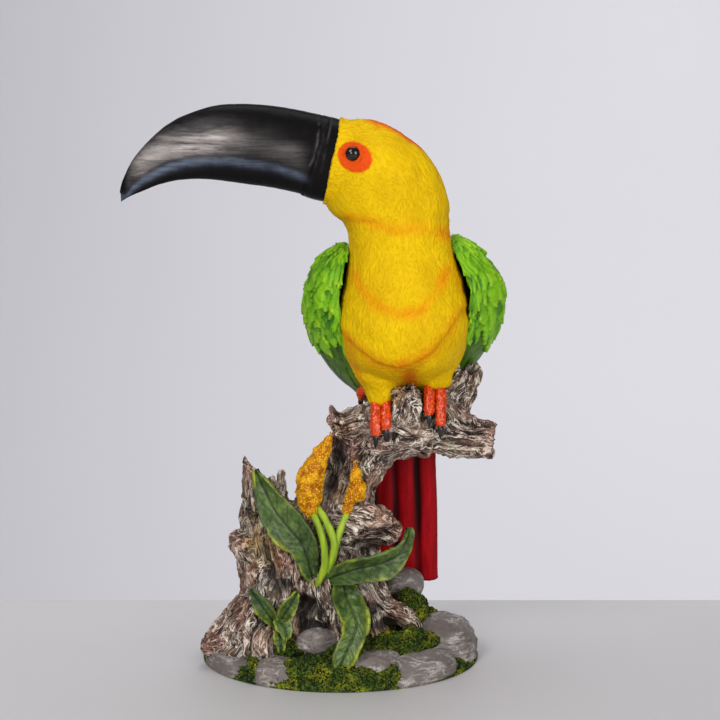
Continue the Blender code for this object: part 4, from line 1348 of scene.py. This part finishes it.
def paintLeaf():
    paint = Paint("green leaf paint", leafValues, 0.36, 0.1, 0.25, 0.3)
    stops = [(0.34, "deep"), (0.50, "mid"), (0.66, "green")]
    paint.base = paint.ramp(paint.grain(48, 6, 0.65), stops)
    paint.over(paint.grain(120, 6, 0.72).spread(0.49, 0.64) * 0.6, "dust")
    streaks = paint.grain(170, 5, 0.7, (1, 1, 0.5)).spread(0.55, 0.70)
    paint.over(streaks * 0.35, "streaks")
    paint.over(paint.layer("edge") * paint.grain(42).spread(0.42, 0.60), "lime")
    crackle = paint.grain(95, 5, 0.65, distortion=0.4).lines(16)
    paint.over(crackle * 0.5, "dark")
    paint.over(paint.layer("vein").spread(0.20, 0.95) * 0.85, "dark")
    return paint.done(paint.grain(380, 5, 0.65), 0.45, 0.0006)


leafPaint = paintLeaf()
for number, (name, (across, rows)) in enumerate(leafTables.items()):
    finishPiece(name, leafForm(across, rows, number * 3.1, number > 2), leafPaint)


# stems and flower spikes

flowerValues = {
    "stemGrid": (20, 56),
    "spikeGrid": (84, 136),
    "stemDark": (0.11, 0.21, 0.008),
    "stemMid": (0.27, 0.40, 0.020),
    "stemLight": (0.46, 0.56, 0.050),
    "spikeDark": (0.34, 0.10, 0.002),
    "spikeMid": (0.66, 0.29, 0.003),
    "spikeLight": (0.82, 0.47, 0.006),
}
stemRows = [  # x, y, z, radius
    [(-15, -29, 57, 1.8), (-13, -33, 64, 2.3), (-10, -36, 73, 2.4), (-10, -36, 82, 2.4),
     (-12, -35, 94, 2.4), (-17.5, -31, 107, 2.2)],
    [(-13, -30, 62, 2.0), (-8, -33, 71, 2.3), (-4.5, -34, 81, 2.4), (-4, -34, 89, 2.4),
     (-8, -32, 100, 2.4), (-15, -29, 111, 2.2)],
    [(-8, -33, 68, 2.0), (-4.5, -33, 78, 2.3), (-2.5, -32, 87, 2.4), (0, -29, 95, 2.4),
     (4.4, -25, 105, 2.2)],
]
spikeRows = {  # x, y, z, radius
    "tall_spike": [
        (-19, -29, 103.5, 0), (-19, -29, 108, 4.8), (-20, -28, 117, 8.2), (-19.5, -27, 129, 9.2),
        (-15.8, -26, 138, 7.0), (-12, -25, 146, 5.0), (-8.2, -24, 153, 3.4), (-6, -23, 160, 0)],
    "short_spike": [
        (4.2, -24, 102, 0), (4.4, -24, 105, 2.4), (5, -23, 109, 3.3), (7.2, -22, 114, 4.2),
        (10.6, -21, 119, 6.2), (11, -20, 123.5, 5.6), (10.2, -19, 128, 3.6), (10, -18, 133.5, 2.4),
        (10, -17, 139, 0)],
}


def paintStem():
    paint = Paint("lime stem paint", flowerValues, 0.4, 0.06, 0.3, 0.25)
    streak = paint.grain(120, 5, 0.6, (1.5, 1.5, 0.25))
    paint.base = paint.ramp(streak, [(0.30, "stemDark"), (0.52, "stemMid"), (0.74, "stemLight")])
    return paint.done(streak, 0.2, 0.0004)


def paintSpike():
    paint = Paint("flower spike paint", flowerValues, 0.5, specular=0.2)
    tone = paint.layer("knob") + (paint.grain(300, 5, 0.7) - 0.5) * 0.8
    paint.base = paint.ramp(tone, [(0.05, "spikeDark"), (0.32, "spikeMid"), (0.68, "spikeLight")])
    return paint.done(paint.grain(900, 4, 0.7), 0.5, 0.0005)


stemForm = joinForms([roundForm(rows, *flowerValues["stemGrid"]) for rows in stemRows])
stemForm.normal_update()
for vertex in stemForm.verts:
    x, y, z = vertex.co
    vertex.co += vertex.normal * 0.3 * rough(x * 0.4, y * 0.4, z * 0.08)
finishPiece("stems", stemForm, paintStem())

spikePaint = paintSpike()
for name, rows in spikeRows.items():
    spike = roundForm(rows, *flowerValues["spikeGrid"], 0.9)
    layers = newLayers(spike, "knob")
    for vertex in spike.verts:
        p = vertex.co.copy()
        knob = pebbles(p * 0.72, 1.8)
        lump = rough(p * 0.22)
        mark(vertex, layers, 0.7 * knob + 0.3 * lump)
        lift = 1.2 * math.sqrt(knob) + 2.0 * lump + 0.35 * rough(p * 1.1) - 0.5
        vertex.co = p + vertex.normal * lift
    finishPiece(name, spike, spikePaint)

print("sculpture finished")


# studio

studioValues = {
    "cameraPlace": (0.013, -1.2948, 0.4509),
    "cameraPitch": 79.15,
    "lens": 100.4,
    "tableEdge": 0.1207,  # the table's far edge
    "tableColour": (0.82, 0.80, 0.81),
    "wallColour": (0.72, 0.71, 0.75),
    "coveFloor": -0.7,  # the cove stands lower than the table and is seen over its edge
    "coveStart": 1.3,
    "coveRadius": 1.8,
    "wallTop": 3.5,
    "worldColour": (0.80, 0.80, 0.85, 1),
    "worldStrength": 0.2,
}
lightRows = [  # name, place, target, size and power
    ("key", (-0.75, -1.15, 1.3), (0, 0, 0.2), (0.8, 0.8), 15.5),
    ("fill", (1.0, -1.3, 0.6), (0, 0, 0.2), (0.8, 0.8), 14.5),
    ("front", (-0.45, -1.5, 0.55), (-0.02, 0, 0.34), (0.5, 0.35), 5),
    ("top", (0.0, 0.2, 1.4), (0, 0, 0.1), (0.9, 0.7), 4.5),
    ("wall", (0.8, 1.0, 1.4), (0.5, 2.9, 0.0), (2.0, 1.0), 37),
]


def studioSheet(name, points, colour, roughness):
    # a sheet drawn by its side view, y and z, and pulled out sideways
    sheet = bmesh.new()
    first = [sheet.verts.new((-3, y, z)) for y, z in points]
    edges = [sheet.edges.new(pair) for pair in zip(first, first[1:])]
    pulled = bmesh.ops.extrude_edge_only(sheet, edges=edges)
    ends = [item for item in pulled["geom"] if isinstance(item, bmesh.types.BMVert)]
    bmesh.ops.translate(sheet, vec=(6, 0, 0), verts=ends)
    bmesh.ops.recalc_face_normals(sheet, faces=sheet.faces)
    colours = {"plain": colour, "darker": tuple(value * 0.96 for value in colour)}
    paint = Paint(name + " card", colours, roughness, specular=0.3)
    paint.base = "darker"
    paint.over(paint.grain(1.3, 2).spread(0.0, 1.0), "plain")
    item = makeObject(name, sheet, paint.done())


edgeY = studioValues["tableEdge"]
tablePoints = [(-3, 0), (edgeY, 0), (edgeY + 0.004, -0.004), (edgeY + 0.004, -0.02)]
studioSheet("table", tablePoints, studioValues["tableColour"], 0.6)
low, start, radius = (studioValues[key] for key in ("coveFloor", "coveStart", "coveRadius"))
curve = [(-3, low), (start, low)]
for a in np.linspace(0.06, math.pi / 2, 24):
    curve.append((start + radius * math.sin(a), low + radius * (1 - math.cos(a))))
curve.append((start + radius, studioValues["wallTop"]))
studioSheet("backdrop", curve, studioValues["wallColour"], 0.8)

for name, place, target, size, power in lightRows:
    data = bpy.data.lights.new(name, "AREA")
    data.shape = "RECTANGLE"
    data.size, data.size_y = size
    data.energy = power
    lamp = bpy.data.objects.new(name, data)
    lamp.location = place
    lamp.rotation_euler = (Vector(target) - Vector(place)).to_track_quat("-Z", "Y").to_euler()
    scene.collection.objects.link(lamp)

world = bpy.data.worlds.new("studio")
world.use_nodes = True
background = world.node_tree.nodes["Background"].inputs
background["Color"].default_value = studioValues["worldColour"]
background["Strength"].default_value = studioValues["worldStrength"]
scene.world = world
scene.view_settings.view_transform = "Standard"

cameraData = bpy.data.cameras.new("camera")
cameraData.lens = studioValues["lens"]
cameraData.sensor_width = 36
camera = bpy.data.objects.new("camera", cameraData)
camera.location = studioValues["cameraPlace"]
camera.rotation_euler = (math.radians(studioValues["cameraPitch"]), 0, 0)
scene.collection.objects.link(camera)
bpy.context.scene.camera = camera
print("studio ready")
